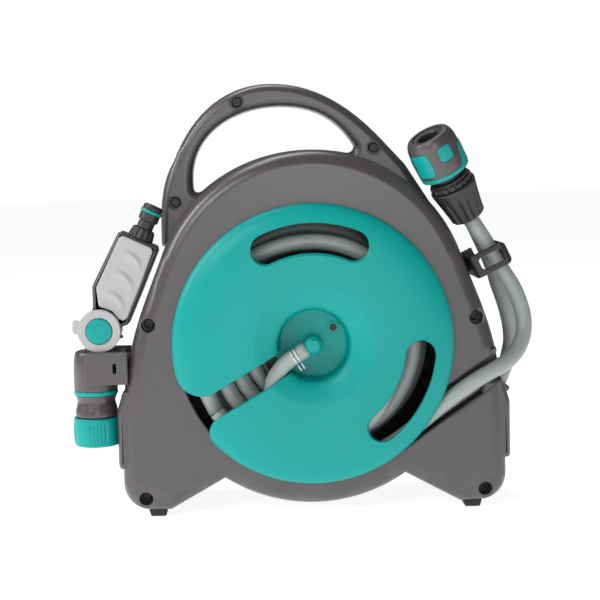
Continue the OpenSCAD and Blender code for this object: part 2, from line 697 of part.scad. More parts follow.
module gun_rear_shell() color(dark) translate(shift) difference() {
    union() {
        difference() {
            grip_body(gun_y, gun_y + grip_half_t, 0);
            grip_body(gun_y - 1, gun_y + grip_half_t - 2.2, 2.2);
        }
        for (v = gun_screw_v) gun_hole(v, 4, gun_y, gun_y + grip_half_t - 1);
        gun_frame() for (a = [-36:12:12]) rotate([0, -a, 0])
            translate([lever_r - 1.4, gun_y + 1, -1.4]) cube([2.6, 6, 2.8]);
    }
    gun_openings();
    for (v = gun_screw_v) {
        gun_hole(v, 1.7, gun_y - 1, gun_y + grip_half_t + 1);
        gun_hole(v, 3, gun_y + grip_half_t - 3, gun_y + grip_half_t + 1);
    }
}

module gun_screws() color(steel) translate(shift)
    for (v = gun_screw_v) {
        gun_hole(v, 1.35, gun_y - 7, gun_y + grip_half_t - 2.9);
        gun_hole(v, 2.8, gun_y + grip_half_t - 2.95, gun_y + grip_half_t - 1);
    }

pad_t = 2.4;
module grip_pad() color(pale) translate(shift) gun_frame()
    along_y(gun_y - grip_half_t - pad_t, gun_y - grip_half_t)
        polygon([[-14.5, 73], [-12.5, 75.5], [12, 75.5], [13.6, 73], [15, 45], [15.6, 18], [14, 14.5],
                 [10, 14.2], [5, 17.6], [-1, 18.4], [-5, 17.8], [-8, 17], [-11, 20], [-15.6, 30]]);

module barrel() color(dark) translate(shift) translate([barrel_x, gun_y, 0]) difference() {
    rotate_extrude() polygon([[6, barrel_low_z - 10], [10, barrel_low_z - 10], [10, barrel_low_z],
        [barrel_r - 1, barrel_low_z + 0.3], [barrel_r - 0.6, barrel_low_z + 5],
        [barrel_r - 1.8, barrel_low_z + 12], [barrel_r - 0.4, barrel_low_z + 17],
        [barrel_r - 1.4, barrel_low_z + 17.4], [barrel_r - 1.4, barrel_low_z + 21],
        [barrel_r, barrel_low_z + 21.4], [barrel_r, barrel_top_z - 14], [barrel_r - 1, barrel_top_z - 2],
        [barrel_r - 2.4, barrel_top_z], [8, barrel_top_z], [8, barrel_top_z + 6], [6, barrel_top_z + 6]]);
    translate([6, 0, barrel_top_z + 17]) rotate([90, 0, 0]) cylinder(r = lever_r - 0.7, h = 80, center = true);
}

module barrel_band() color(teal) translate(shift) translate([barrel_x, gun_y, barrel_low_z + 17.5])
    difference() {
        cylinder(r = barrel_r + 0.2, h = 3.4);
        translate([0, 0, -1]) cylinder(r = barrel_r - 1.38, h = 6);
    }

module head_ring() color(teal) translate(shift) translate([barrel_x, gun_y, head_low_z]) difference() {
    rotate_extrude() polygon([[head_r - 3, 0], [head_r - 1.5, 0], [head_r - 0.4, 2], [head_r, 12],
        [head_r - 0.6, 22.6], [10.3, 22.6], [10.3, 19.6], [head_r - 3, 19.6]]);
    for (a = [0:15:345]) rotate([0, 0, a]) translate([head_r + 0.5, 0, 2]) cylinder(r = 1.1, h = 18, $fn = 16);
}

module spray_plate() color(black) translate(shift) translate([barrel_x, gun_y, head_low_z + 1]) difference() {
    cylinder(r = head_r - 3.05, h = 3);
    for (ring = [[4, 6], [8, 12], [12, 18]]) for (i = [0:ring[1] - 1]) rotate([0, 0, 360 * i / ring[1]])
        translate([ring[0], 0, -1]) cylinder(r = 0.8, h = 5, $fn = 16);
}

module flow_lever() color(pale) translate(shift) gun_frame() difference() {
    union() {
        cyl_y(0, 0, lever_r, gun_y - grip_half_t - 6, gun_y - grip_half_t - 0.4);
        along_y(gun_y - grip_half_t - 5.5, gun_y - grip_half_t - pad_t - 0.4)
            rotate(18) hull() {
                translate([-lever_r, 0]) circle(r = 5, $fn = 32);
                translate([-lever_r - 4, -2.5]) square([4, 9]);
            }
        cyl_y(0, 0, 4, gun_y - grip_half_t - 1, gun_y - 7);
    }
    cyl_y(0, 0, 10.1, gun_y - grip_half_t - 7, gun_y - grip_half_t - 3.4);
}

module lever_cap() color(teal) translate(shift) gun_frame()
    translate([0, gun_y - grip_half_t - 3.5, 0]) rotate([90, 0, 0]) rotate_extrude()
        polygon([[0, 0], [10, 0], [10, 2.6], [9, 3.8], [6, 4.9], [3, 5.4], [0, 5.6]]);

module valve_plug() color(pale) translate(shift) gun_frame() difference() {
    cyl_y(0, 0, 6.5, gun_y - 6.9, gun_y + 6.5);
    translate([0, gun_y, 0]) rotate([0, 0, 0]) cylinder(r = 3.2, h = 30, center = true);
}

module valve_seal() color(black) translate(shift) gun_frame() translate([0, gun_y + 8.2, 0])
    rotate([90, 0, 0]) cylinder(r = 5, h = 1.2);

module hose_adapter() color(black) translate(shift) gun_frame() translate([0, gun_y, grip_top_v]) {
    difference() {
        union() {
            translate([0, 0, 0.1]) cylinder(r1 = 10, r2 = 8.6, h = 8.4);
            for (a = [0:30:330]) rotate([0, 0, a]) translate([8.6, 0, 0.1]) cylinder(r = 1.4, h = 6, $fn = 16);
            translate([0, 0, -4]) cylinder(r = 6, h = 4.2);
        }
        translate([0, 0, -5]) cylinder(r = 4, h = 20);
    }
}

module male_nipple() color(black) translate(shift) gun_frame() translate([0, gun_y, grip_top_v + 8.6])
    difference() {
        rotate_extrude() polygon([[3.8, 0], [6.4, 0], [6.4, 6], [nipple_r, 7], [nipple_r, 12.6],
            [6.3, 12.6], [6.3, 15.4], [nipple_r, 15.4], [nipple_r, 18], [6.6, 19.4], [3.8, 19.4]]);
    }

module nipple_seal() color(teal) translate(shift) gun_frame() translate([0, gun_y, grip_top_v + 8.6 + 14])
    rotate_extrude() translate([7.62, 0]) circle(r = 1.3, $fn = 24);

// ---------- quick connectors ----------
module connector(end, turn, lean) {
    translate(end) rotate([0, 0, turn]) rotate([0, lean, 0]) children();
}

nut_len = 30;
neck_len = 8;
sleeve_len = 38;
sleeve_z = nut_len + neck_len;
module connector_body() difference() {
    rotate_extrude() polygon([[4.2, 2], [5.2, 2], [5.2, nut_len - 6], [11, nut_len - 4],
        [15.5, nut_len + 0.3], [17, nut_len + 1], [17, nut_len + 4], [15, nut_len + 5],
        [16, sleeve_z - 1], [12.6, sleeve_z], [12.6, sleeve_z + sleeve_len - 1],
        [nipple_r + nipple_gap, sleeve_z + sleeve_len - 1], [nipple_r + nipple_gap, sleeve_z + 12],
        [nipple_r + 0.8, sleeve_z + 12], [nipple_r + 0.8, sleeve_z + 8], [4.2, sleeve_z + 6.4]]);
    for (a = [0:20:340]) rotate([0, 0, a]) translate([17.4, 0, nut_len + 0.9]) cylinder(r = 1.1, h = 3.4, $fn = 16);
}

module connector_sleeve() difference() {
    rotate_extrude() polygon([[12.7, sleeve_z + 5], [16, sleeve_z + 4.2], [sleeve_r - 1, sleeve_z + 4.2],
        [sleeve_r, sleeve_z + 6], [sleeve_r, sleeve_z + 14], [sleeve_r - 1, sleeve_z + 15],
        [sleeve_r - 1, sleeve_z + 34], [sleeve_r - 2.6, sleeve_z + sleeve_len],
        [12.7, sleeve_z + sleeve_len]]);
    for (a = [0:90:270]) rotate([0, 0, a]) translate([sleeve_r - 2, -6, sleeve_z + 18]) cube([6, 12, 14]);
}

module connector_pads() for (a = [0:90:270]) rotate([0, 0, a]) intersection() {
    translate([sleeve_r - 1.95, -5.9, sleeve_z + 18.1]) cube([6, 11.8, 13.8]);
    cylinder(r = sleeve_r - 0.4, h = 90, $fn = 240);
}

module connector_nut() difference() {
    union() {
        cylinder(r1 = 13.4, r2 = 18.6, h = nut_len);
        for (a = [0:30:330]) rotate([0, 0, a]) translate([12.9, 0, 1.5]) rotate([0, 9.8, 0])
            cylinder(r = 1.7, h = nut_len - 4, $fn = 24);
    }
    translate([0, 0, -1]) cylinder(r = hose_d / 2 + 0.3, h = nut_len - 6);
    translate([0, 0, nut_len - 8]) cylinder(r = 15.8, h = 10);
}

module connector_seal() translate([0, 0, sleeve_z + 9.5]) rotate_extrude()
    translate([nipple_r - 0.55, 0]) circle(r = 1.3, $fn = 24);

module lead_body() color(black) translate(shift) connector(lead_end, lead_turn, lead_lean) connector_body();
module lead_sleeve() color(black) translate(shift) connector(lead_end, lead_turn, lead_lean) connector_sleeve();
module lead_pads() color(teal) translate(shift) connector(lead_end, lead_turn, lead_lean) connector_pads();
module lead_nut() color(black) translate(shift) connector(lead_end, lead_turn, lead_lean) connector_nut();
module lead_seal() color(black) translate(shift) connector(lead_end, lead_turn, lead_lean) connector_seal();
module supply_body() color(black) translate(shift) connector(supply_end, supply_turn, supply_lean) connector_body();
module supply_sleeve() color(black) translate(shift)
    connector(supply_end, supply_turn, supply_lean) connector_sleeve();
module supply_pads() color(teal) translate(shift) connector(supply_end, supply_turn, supply_lean) connector_pads();
module supply_nut() color(black) translate(shift) connector(supply_end, supply_turn, supply_lean) connector_nut();
module supply_seal() color(black) translate(shift) connector(supply_end, supply_turn, supply_lean) connector_seal();

// ---------- hoses ----------
module hose_hub() color(grey) translate(shift) tube(hub_route, hose_d / 2);
module hose_lead() color(grey) translate(shift) tube(lead_route, hose_d / 2);
module inlet_hose() color(grey) translate(shift) tube(inlet_route, hose_d / 2);

module hose_coil() color(grey) translate(shift) translate([0, coil_front_y, axis_z])
    rotate([-90, 0, 0]) rotate_extrude()
        polygon([[core_r + 0.5, 0], [layer_r, 0], [layer_r, 2 * hose_d], [layer_r + hose_d, 2 * hose_d],
            [layer_r + hose_d, coil_back_y - coil_front_y], [core_r + 0.5, coil_back_y - coil_front_y]]);

front_shell();
rear_shell();
housing_screws();
feet();
hose_clip();
holster();
holster_screws();
front_disc();
drum_core();
rear_flange();
hub_barb();
hub_screws();
hose_clamp();
flange_screws();
drum_shaft();
swivel_collar();
collar_screws();
shaft_seals();
retaining_ring();
rear_bush();
supply_pipe();
inlet_gland();
crank_arm();
crank_screw();
knob_hinge_pin();
knob_bracket();
crank_knob();
gun_front_shell();
gun_rear_shell();
gun_screws();
grip_pad();
barrel();
barrel_band();
head_ring();
spray_plate();
flow_lever();
lever_cap();
valve_plug();
valve_seal();
hose_adapter();
male_nipple();
nipple_seal();
lead_body();
lead_sleeve();
lead_pads();
lead_nut();
lead_seal();
supply_body();
supply_sleeve();
supply_pads();
supply_nut();
supply_seal();
hose_hub();
hose_coil();
hose_lead();
inlet_hose();
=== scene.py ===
import json
import math

import bmesh
import bpy
from mathutils import Matrix, Vector


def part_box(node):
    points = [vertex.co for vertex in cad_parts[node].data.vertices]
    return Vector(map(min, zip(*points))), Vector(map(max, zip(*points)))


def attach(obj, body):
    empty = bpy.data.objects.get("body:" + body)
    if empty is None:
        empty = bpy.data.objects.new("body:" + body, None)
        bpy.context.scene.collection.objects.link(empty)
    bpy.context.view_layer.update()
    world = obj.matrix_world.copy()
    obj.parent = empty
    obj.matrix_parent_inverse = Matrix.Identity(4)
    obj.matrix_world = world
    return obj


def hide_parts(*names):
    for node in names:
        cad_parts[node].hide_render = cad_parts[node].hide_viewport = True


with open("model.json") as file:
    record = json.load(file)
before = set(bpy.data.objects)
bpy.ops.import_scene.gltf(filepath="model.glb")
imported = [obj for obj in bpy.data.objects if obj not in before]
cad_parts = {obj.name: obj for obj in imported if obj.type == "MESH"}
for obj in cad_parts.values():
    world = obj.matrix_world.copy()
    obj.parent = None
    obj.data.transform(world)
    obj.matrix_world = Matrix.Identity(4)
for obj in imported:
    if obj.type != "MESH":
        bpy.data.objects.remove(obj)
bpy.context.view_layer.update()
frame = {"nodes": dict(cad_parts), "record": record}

# ---------------------------------------------------------------------------
# The reel stands on its feet with the drum axis along Y. Pieces are drawn in
# millimetres: X from the drum axis, Y from the parting plane of the two
# housing shells and Z from the floor, and go into the frame from there.
# ---------------------------------------------------------------------------
MM = 0.001
disc_low, disc_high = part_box("front_disc")
AXIS_X = (disc_low.x + disc_high.x) / 2
AXIS_Z = 136
DOME_Y = -64
PARTING_Y = disc_low.y - DOME_Y * MM
INTO_FRAME = Matrix.Translation((AXIS_X, PARTING_Y, 0)) @ Matrix.Scale(MM, 4)


def at(x, y, z):
    return INTO_FRAME @ Vector((x, y, z))


# ---------------------------------------------------------------------------
# Camera: level with the handle and a little to the left, square to the disc,
# with a long lens.
# ---------------------------------------------------------------------------
EYE = at(-43.5, -1039.3, 269.3)
AIM = at(-9.5, -44.8, 170.5)
CAMERA_ROLL = math.radians(1.32)

view = (AIM - EYE).normalized()
level = view.cross(Vector((0, 0, 1))).normalized()
upright = level.cross(view)
right = level * math.cos(CAMERA_ROLL) - upright * math.sin(CAMERA_ROLL)
up = upright * math.cos(CAMERA_ROLL) + level * math.sin(CAMERA_ROLL)
camera = bpy.data.objects.new("camera", bpy.data.cameras.new("camera"))
bpy.context.scene.collection.objects.link(camera)
camera.matrix_world = Matrix.Translation(EYE) @ Matrix((right, up, -view)).transposed().to_4x4()
camera.data.lens = 76.9
camera.data.sensor_width = 36
bpy.context.scene.camera = camera
bpy.context.scene.view_settings.view_transform = "Standard"


# ---------------------------------------------------------------------------
# Hose: 13 mm PVC garden hose, light grey with a green cast and a satin skin.
# Fine drawing lines run along it, and dust and scuffs dull it in patches.
# ---------------------------------------------------------------------------
class Field:
    """A value that changes over a surface. Sums and products of fields add Math nodes."""

    tree = None

    def __init__(self, socket):
        self.socket = socket

    @classmethod
    def node(cls, kind, sockets=(), output=0, stops=None, **settings):
        node = cls.tree.nodes.new(kind)
        for name, value in settings.items():
            setattr(node, name, value)
        if stops:
            while len(node.color_ramp.elements) < len(stops):
                node.color_ramp.elements.new(1)
            for element, (place, colour) in zip(node.color_ramp.elements, stops):
                element.position = place
                element.color = colour if hasattr(colour, "__len__") else (colour,) * 3 + (1,)
        for key, value in dict(sockets).items():
            if isinstance(value, Field):
                cls.tree.links.new(value.socket, node.inputs[key])
            else:
                node.inputs[key].default_value = value
        return cls(node.outputs[output])

    def maths(self, operation, first, second, clamp=False):
        return self.node("ShaderNodeMath", {0: first, 1: second}, operation=operation, use_clamp=clamp)

    def __add__(self, other):
        return self.maths("ADD", self, other)

    def __sub__(self, other):
        return self.maths("SUBTRACT", self, other)

    def __rsub__(self, other):
        return self.maths("SUBTRACT", other, self)

    def __mul__(self, other):
        return self.maths("MULTIPLY", self, other)

    def __pow__(self, other):
        return self.maths("POWER", self, other)

    __radd__ = __add__
    __rmul__ = __mul__

    def clamped(self):
        return self.maths("ADD", self, 0.0, clamp=True)


def begin(name, roughness=0.5, **shine):
    """A new material; the Field class writes into it until the next one begins."""
    material = bpy.data.materials.new(name)
    material.use_nodes = True
    Field.tree = material.node_tree
    surface = material.node_tree.nodes["Principled BSDF"]
    surface.inputs["Roughness"].default_value = roughness
    for socket, value in shine.items():
        surface.inputs[socket.replace("_", " ")].default_value = value
    return material, surface


def join(field, surface, socket):
    Field.tree.links.new(field.socket, surface.inputs[socket])


def on_object(scale=(1, 1, 1)):
    where = Field.node("ShaderNodeTexCoord", output="Object")
    return Field.node("ShaderNodeMapping", {"Vector": where, "Scale": scale})


def noise(where, scale, detail=3.0, roughness=0.5):
    return Field.node("ShaderNodeTexNoise",
                      {"Vector": where, "Scale": scale, "Detail": detail, "Roughness": roughness})


def blend(amount, first, second):
    """Mixes two colours by a field."""
    return Field.node("ShaderNodeMix", {0: amount, 6: first, 7: second}, output=2, data_type="RGBA")


def steps(field, low, high):
    """A field that climbs from 0 to 1 between low and high."""
    return Field.node("ShaderNodeMapRange", {0: field, 1: low, 2: high}, interpolation_type="SMOOTHSTEP")


def raise_surface(surface, height, distance, strength=1.0):
    bump = Field.node("ShaderNodeBump", {"Height": height, "Distance": distance, "Strength": strength})
    join(bump, surface, "Normal")


def rgb(red, green, blue):
    return (red, green, blue, 1)


def hose_skin():
    material, surface = begin("hose_pvc", 0.36, Coat_Weight=0.25, Coat_Roughness=0.3,
                              Subsurface_Weight=0.06, Subsurface_Scale=0.004)
    along = Field.node("ShaderNodeUVMap", uv_map="hose")
    lines = noise(Field.node("ShaderNodeMapping", {"Vector": along, "Scale": (60, 3, 1)}), 1.0, 2.0)
    where = on_object()
    cloud = noise(where, 26, 3)
    scuff = steps(noise(where, 70, 5, 0.65), 0.58, 0.72)
    colour = blend(cloud, rgb(0.30, 0.345, 0.335), rgb(0.40, 0.44, 0.43))
    colour = blend(0.45 * scuff, colour, rgb(0.50, 0.52, 0.50))
    join(colour, surface, "Base Color")
    join(0.30 + 0.16 * cloud + 0.2 * scuff, surface, "Roughness")
    raise_surface(surface, lines + 0.6 * noise(where, 900, 2), 0.00012, 0.5)
    return material


HOSE_R = 6.45
HOSE_PITCH = 13
HOSE_SIDES = 20


def smooth_route(points, step=5.0):
    """A Catmull-Rom line through given points, about one step apart."""
    route = [Vector(p) for p in points]
    padded = [2 * route[0] - route[1]] + route + [2 * route[-1] - route[-2]]
    line = []
    for a, b, c, d in zip(padded, padded[1:], padded[2:], padded[3:]):
        pieces = max(1, round((c - b).length / step))
        for i in range(pieces):
            t = i / pieces
            line.append(0.5 * (2 * b + (c - a) * t + (2 * a - 5 * b + 4 * c - d) * t * t
                               + (3 * b - a - 3 * c + d) * t * t * t))
    return line + [route[-1]]


def new_object(name, mesh):
    made = bpy.data.objects.new(name, mesh)
    bpy.context.scene.collection.objects.link(made)
    return made


def fit(obj, body, slot, material, *nodes):
    """Puts a finished piece on its body, in its finish, in place of its CAD nodes."""
    obj.data.materials.clear()
    obj.data.materials.append(material)
    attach(obj, body)
    if nodes:
        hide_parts(*nodes)
    return obj


def hose(name, line, body, *nodes):
    """A round hose along a line of points in millimetres, with closed ends."""
    turned = Vector((0, 1, 0))
    rings, lengths, run = [], [], 0.0
    for i, p in enumerate(line):
        ahead = (line[min(i + 1, len(line) - 1)] - line[max(i - 1, 0)]).normalized()
        turned = (turned - ahead * turned.dot(ahead)).normalized()
        side = ahead.cross(turned)
        run += (p - line[i - 1]).length if i else 0.0
        lengths.append(run * MM)
        rings.append([p + HOSE_R * (math.cos(a) * turned + math.sin(a) * side)
                      for a in (2 * math.pi * k / HOSE_SIDES for k in range(HOSE_SIDES))])
    verts = [INTO_FRAME @ v for ring in rings for v in ring]
    faces = []
    for i in range(len(line) - 1):
        for k in range(HOSE_SIDES):
            j = (k + 1) % HOSE_SIDES
            faces.append((i * HOSE_SIDES + k, i * HOSE_SIDES + j,
                          (i + 1) * HOSE_SIDES + j, (i + 1) * HOSE_SIDES + k))
    faces += [tuple(reversed(range(HOSE_SIDES))),
              tuple(range((len(line) - 1) * HOSE_SIDES, len(line) * HOSE_SIDES))]
    mesh = bpy.data.meshes.new(name)
    mesh.from_pydata(verts, [], faces)
    mesh.polygons.foreach_set("use_smooth", [len(p.vertices) == 4 for p in mesh.polygons])
    wrap = mesh.uv_layers.new(name="hose")
    for face in mesh.polygons:
        for corner, vertex in zip(face.loop_indices, face.vertices):
            ring, k = divmod(vertex, HOSE_SIDES)
            crosses_seam = HOSE_SIDES - 1 in [v % HOSE_SIDES for v in face.vertices]
            around = 1.0 if k == 0 and crosses_seam else k / HOSE_SIDES
            wrap.data[corner].uv = (around, lengths[ring] * 10)
    made = fit(new_object(name, mesh), body, "hose", HOSE, *nodes)
    return made, [list(INTO_FRAME @ p) for p in line], run * MM


HOSE = hose_skin()
HUB_ROUTE = [(-5.5, -53, 133.1), (-12, -53, 129), (-20, -53, 124), (-27, -53, 117), (-32, -53, 108),
             (-33, -53, 96), (-30, -53, 83), (-23, -53, 71), (-12, -53, 62), (2, -53, 58), (16, -53, 60),
             (31, -52.6, 67), (44, -51.6, 77), (54, -49, 90), (60, -45, 104)]
LEAD_ROUTE = [(-77, -44, 84), (-66, -44, 71), (-52, -44, 59), (-36, -44, 50), (-18, -44, 44), (2, -44, 41),
              (22, -44, 42), (42, -44, 46), (60, -44, 54), (75, -43.5, 64), (87, -43.5, 73), (98, -44.4, 82),
              (109, -47, 91), (120, -48, 99), (131, -48, 106), (143, -46, 112), (154, -42, 118),
              (163, -36, 126), (169, -29, 137), (170, -25, 150), (167, -23, 163), (162, -22, 175),
              (154.5, -22, 187), (147.5, -22, 199), (140.4, -22.6, 211), (133.2, -24, 222),
              (126.3, -25.4, 232.3)]
INLET_ROUTE = [(158, 20, 91), (162.5, 20, 101), (166, 19, 113), (168, 17, 126), (167, 15, 138),
               (164, 12, 151), (160, 9, 163), (155.5, 7, 175), (152, 6, 187), (147.5, 6, 199),
               (142, 6, 211), (137.3, 5.6, 221), (132.5, 5.2, 230.9)]


def on_drum(angle, radius, y):
    return (radius * math.cos(math.radians(angle)), y, AXIS_Z + radius * math.sin(math.radians(angle)))


def wound(angle, turns, radius, y_from, y_to, climb=0.0, drift=1.0):
    """Turns of hose side by side; the last stretch of angle climbs to the next layer."""
    count = round(turns * 36)
    line = []
    for i in range(1, count + 1):
        done = i / count
        across = min(1.0, done / drift)
        rise = max(0.0, (done - drift) / (1 - drift)) if drift < 1 else 0.0
        rise = rise * rise * (3 - 2 * rise)
        line.append(on_drum(angle + 360 * turns * done, radius + climb * rise,
                            y_from + (y_to - y_from) * across))
    return line


def crossing(angle, sweep, r_from, r_to, y_from, y_to):
    """A stretch of hose that crosses the winding to another column."""
    line = []
    for i in range(1, round(sweep / 10) + 1):
        t = i / round(sweep / 10)
        t = t * t * (3 - 2 * t)
        line.append(on_drum(angle + sweep * i / round(sweep / 10), r_from + (r_to - r_from) * t,
                            y_from + (y_to - y_from) * t))
    return line


FRONT_TURN_Y, THIRD_TURN_Y, REAR_TURN_Y = -39.5, -11, 25.5
FIRST_R, SECOND_R, THIRD_R, FOURTH_R = (50 + HOSE_PITCH * layer for layer in range(4))
winding = [on_drum(-10, 64, -43.6), on_drum(8, 59, -42.4), on_drum(26, 54, -40.8), on_drum(42, 51, -39.8)]
winding += wound(50, 5.6, FIRST_R, FRONT_TURN_Y, REAR_TURN_Y, HOSE_PITCH, 0.9)
winding += wound(266, 5.6, SECOND_R, REAR_TURN_Y, FRONT_TURN_Y, 0, 0.9)
winding += crossing(122, 40, SECOND_R, THIRD_R, FRONT_TURN_Y, THIRD_TURN_Y)
winding += wound(162, 3.4, THIRD_R, THIRD_TURN_Y, REAR_TURN_Y, HOSE_PITCH, 0.9)
winding += wound(306, 2.6, FOURTH_R, REAR_TURN_Y, THIRD_TURN_Y)
winding += crossing(162, 40, FOURTH_R, THIRD_R, THIRD_TURN_Y, FRONT_TURN_Y)
winding += crossing(202, 120, THIRD_R, THIRD_R + 3, FRONT_TURN_Y, FRONT_TURN_Y)
winding += crossing(322, 130, THIRD_R + 3, THIRD_R + 4, FRONT_TURN_Y, FRONT_TURN_Y)
winding += crossing(92, 110, THIRD_R + 4, 92, FRONT_TURN_Y, -43.6)
wound_line = smooth_route(HUB_ROUTE) + smooth_route(winding, 9.0) + [Vector(LEAD_ROUTE[0])]
wound_hose, wound_path, wound_length = hose("wound_hose", wound_line, "drum", "hose_hub", "hose_coil")
lead_hose, lead_path, lead_length = hose("lead_hose", smooth_route(LEAD_ROUTE), "housing", "hose_lead")
inlet_hose, inlet_path, inlet_length = hose("inlet_pipe", smooth_route(INLET_ROUTE), "housing", "inlet_hose")


# ---------------------------------------------------------------------------
# Housing: two deep shells of mid-grey ABS screwed together on the parting
# plane, with the carry handle moulded on. Spark-eroded satin skin, round
# front and rear edges, recessed screws and a gutter that lets the hose out.
# ---------------------------------------------------------------------------
def housing_skin():
    material, surface = begin("housing_abs", 0.35, Specular_IOR_Level=0.75)
    where = on_object()
    cloud = noise(where, 9, 4)
    colour = blend(cloud, rgb(0.062, 0.053, 0.056), rgb(0.078, 0.068, 0.071))
    height = Field.node("ShaderNodeSeparateXYZ", {0: where}, output=2)
    low = 1 - steps(height, 0.004, 0.055)
    dust = (low * steps(noise(where, 60, 5, 0.7), 0.42, 0.68)).clamped()
    rubbed = steps(noise(where, 130, 5, 0.7), 0.66, 0.74)
    colour = blend(0.35 * dust, colour, rgb(0.20, 0.18, 0.16))
    colour = blend(0.25 * rubbed, colour, rgb(0.16, 0.15, 0.15))
    join(colour, surface, "Base Color")
    join(0.27 + 0.08 * cloud + 0.2 * dust + 0.08 * rubbed, surface, "Roughness")
    grain = noise(where, 1500, 2, 0.6) + 0.5 * noise(where, 500, 2)
    raise_surface(surface, grain, 0.00006, 0.5)
    return material


HOUSING = housing_skin()


def arc(x, z, radius, start, end, count):
    return [(x + radius * math.cos(a), z + radius * math.sin(a))
            for a in (math.radians(start + (end - start) * i / count) for i in range(count + 1))]


def bezier(a, b, c, d, count):
    """The points after a on the curve from a to d."""
    curve = []
    for i in range(1, count + 1):
        t = i / count
        curve.append(tuple((1 - t) ** 3 * p + 3 * (1 - t) ** 2 * t * q + 3 * (1 - t) * t * t * r + t ** 3 * s
                           for p, q, r, s in zip(a, b, c, d)))
    return curve


def rounded(corners, radius, count=5):
    """A closed outline with its corners rounded; radius is one number or one for each corner."""
    radii = radius if hasattr(radius, "__len__") else [radius] * len(corners)
    outline = []
    for i, (corner, r) in enumerate(zip(corners, radii)):
        here = Vector(corner)
        before, after = Vector(corners[i - 1]) - here, Vector(corners[(i + 1) % len(corners)]) - here
        if r < 0.01:
            outline.append(tuple(here))
            continue
        half = before.angle(after) / 2
        back = min(r / math.tan(half), before.length * 0.49, after.length * 0.49)
        start, end = here + before.normalized() * back, here + after.normalized() * back
        handle = 0.55 + 0.11 * (half / (math.pi / 2))
        outline.append(tuple(start))
        outline += bezier(start, start.lerp(here, handle), end.lerp(here, handle), end, count)
    return outline


def area(outline):
    return sum(a[0] * b[1] - b[0] * a[1] for a, b in zip(outline, outline[1:] + outline[:1])) / 2


def grown(outline, distance):
    """The outline moved outwards, or inwards for a negative distance."""
    turn = 1 if area(outline) > 0 else -1
    result = []
    for before, here, after in zip(outline[-1:] + outline[:-1], outline, outline[1:] + outline[:1]):
        a = (Vector(here) - Vector(before)).normalized()
        b = (Vector(after) - Vector(here)).normalized()
        outwards = Vector((a.y + b.y, -a.x - b.x)) * turn
        result.append(tuple(Vector(here) + distance * outwards / max(0.35, 1 + a.dot(b))))
    return result


def closed_skin(rings):
    """A closed solid through rings of equal length, with flat ends, in millimetres."""
    count = len(rings[0])
    shape = bmesh.new()
    corners = [[shape.verts.new(p) for p in ring] for ring in rings]
    for near, far in zip(corners, corners[1:]):
        for k in range(count):
            j = (k + 1) % count
            shape.faces.new((near[k], near[j], far[j], far[k]))
    shape.faces.new(corners[0][::-1])
    shape.faces.new(corners[-1])
    bmesh.ops.recalc_face_normals(shape, faces=shape.faces)
    mesh = bpy.data.meshes.new("shape")
    shape.to_mesh(mesh)
    shape.free()
    return new_object("shape", mesh)


def slab(outline, levels):
    """A plate drawn in X and Z; levels are (y, how far the outline grows there)."""
    return closed_skin([[(x, y, z) for x, z in grown(outline, grow)] for y, grow in levels])


def edge_levels(y_from, y_to, radius_from, radius_to=None, count=5):
    """Levels of a plate with rounded edges at both faces."""
    radius_to = radius_from if radius_to is None else radius_to
    way = 1 if y_to > y_from else -1
    quarter = [math.pi / 2 * i / count for i in range(count + 1)]
    first = [(y_from + way * radius_from * (1 - math.sin(a)), -radius_from * (1 - math.cos(a)))
             for a in reversed(quarter)] if radius_from else [(y_from, 0)]
    last = [(y_to - way * radius_to * (1 - math.sin(a)), -radius_to * (1 - math.cos(a)))
            for a in quarter] if radius_to else [(y_to, 0)]
    return first + last


def flare_levels(y_face, y_in, radius, beyond=4, count=4):
    """Levels of a cutter that leaves a rounded lip at y_face and ends at y_in."""
    way = 1 if y_in > y_face else -1
    lip = [(y_face - way * beyond, radius)]
    for i in range(count + 1):
        a = math.pi / 2 * i / count
        lip.append((y_face + way * radius * math.sin(a),
                    radius - radius * math.sqrt(max(0.0, 1 - (1 - math.sin(a)) ** 2))))
    return lip + [(y_in, 0)]


def combine(operation, main, *others):
    """Boolean of solids; the others are used up."""
    for other in others:
        step = main.modifiers.new("step", "BOOLEAN")
        step.operation, step.solver, step.object = operation, "EXACT", other
        bpy.context.view_layer.update()
        mesh = bpy.data.meshes.new_from_object(main.evaluated_get(bpy.context.evaluated_depsgraph_get()))
        main.modifiers.clear()
        main.data = mesh
        bpy.data.objects.remove(other)
    return main


def circle(x, z, radius, count=48):
    return arc(x, z, radius, 0, 360 * (count - 1) / count, count - 1)


def finish(shape, name, sharp=32):
    """Names a solid drawn in millimetres, shades it and puts its place in its mesh."""
    shape.name = shape.data.name = name
    work = bmesh.new()
    work.from_mesh(shape.data)
    bmesh.ops.remove_doubles(work, verts=work.verts, dist=0.004)
    bmesh.ops.dissolve_degenerate(work, edges=work.edges, dist=0.004)
    for face in work.faces:
        face.smooth = True
    for edge in work.edges:
        edge.smooth = edge.is_manifold and edge.calc_face_angle(0) < math.radians(sharp)
    work.to_mesh(shape.data)
    work.free()
    even = shape.modifiers.new("even", "WEIGHTED_NORMAL")
    even.keep_sharp = True
    even.weight = 100
    bpy.context.view_layer.update()
    mesh = bpy.data.meshes.new_from_object(shape.evaluated_get(bpy.context.evaluated_depsgraph_get()))
    shape.modifiers.clear()
    shape.data = mesh
    shape.data.name = name
    shape.data.transform(INTO_FRAME)
    return shape


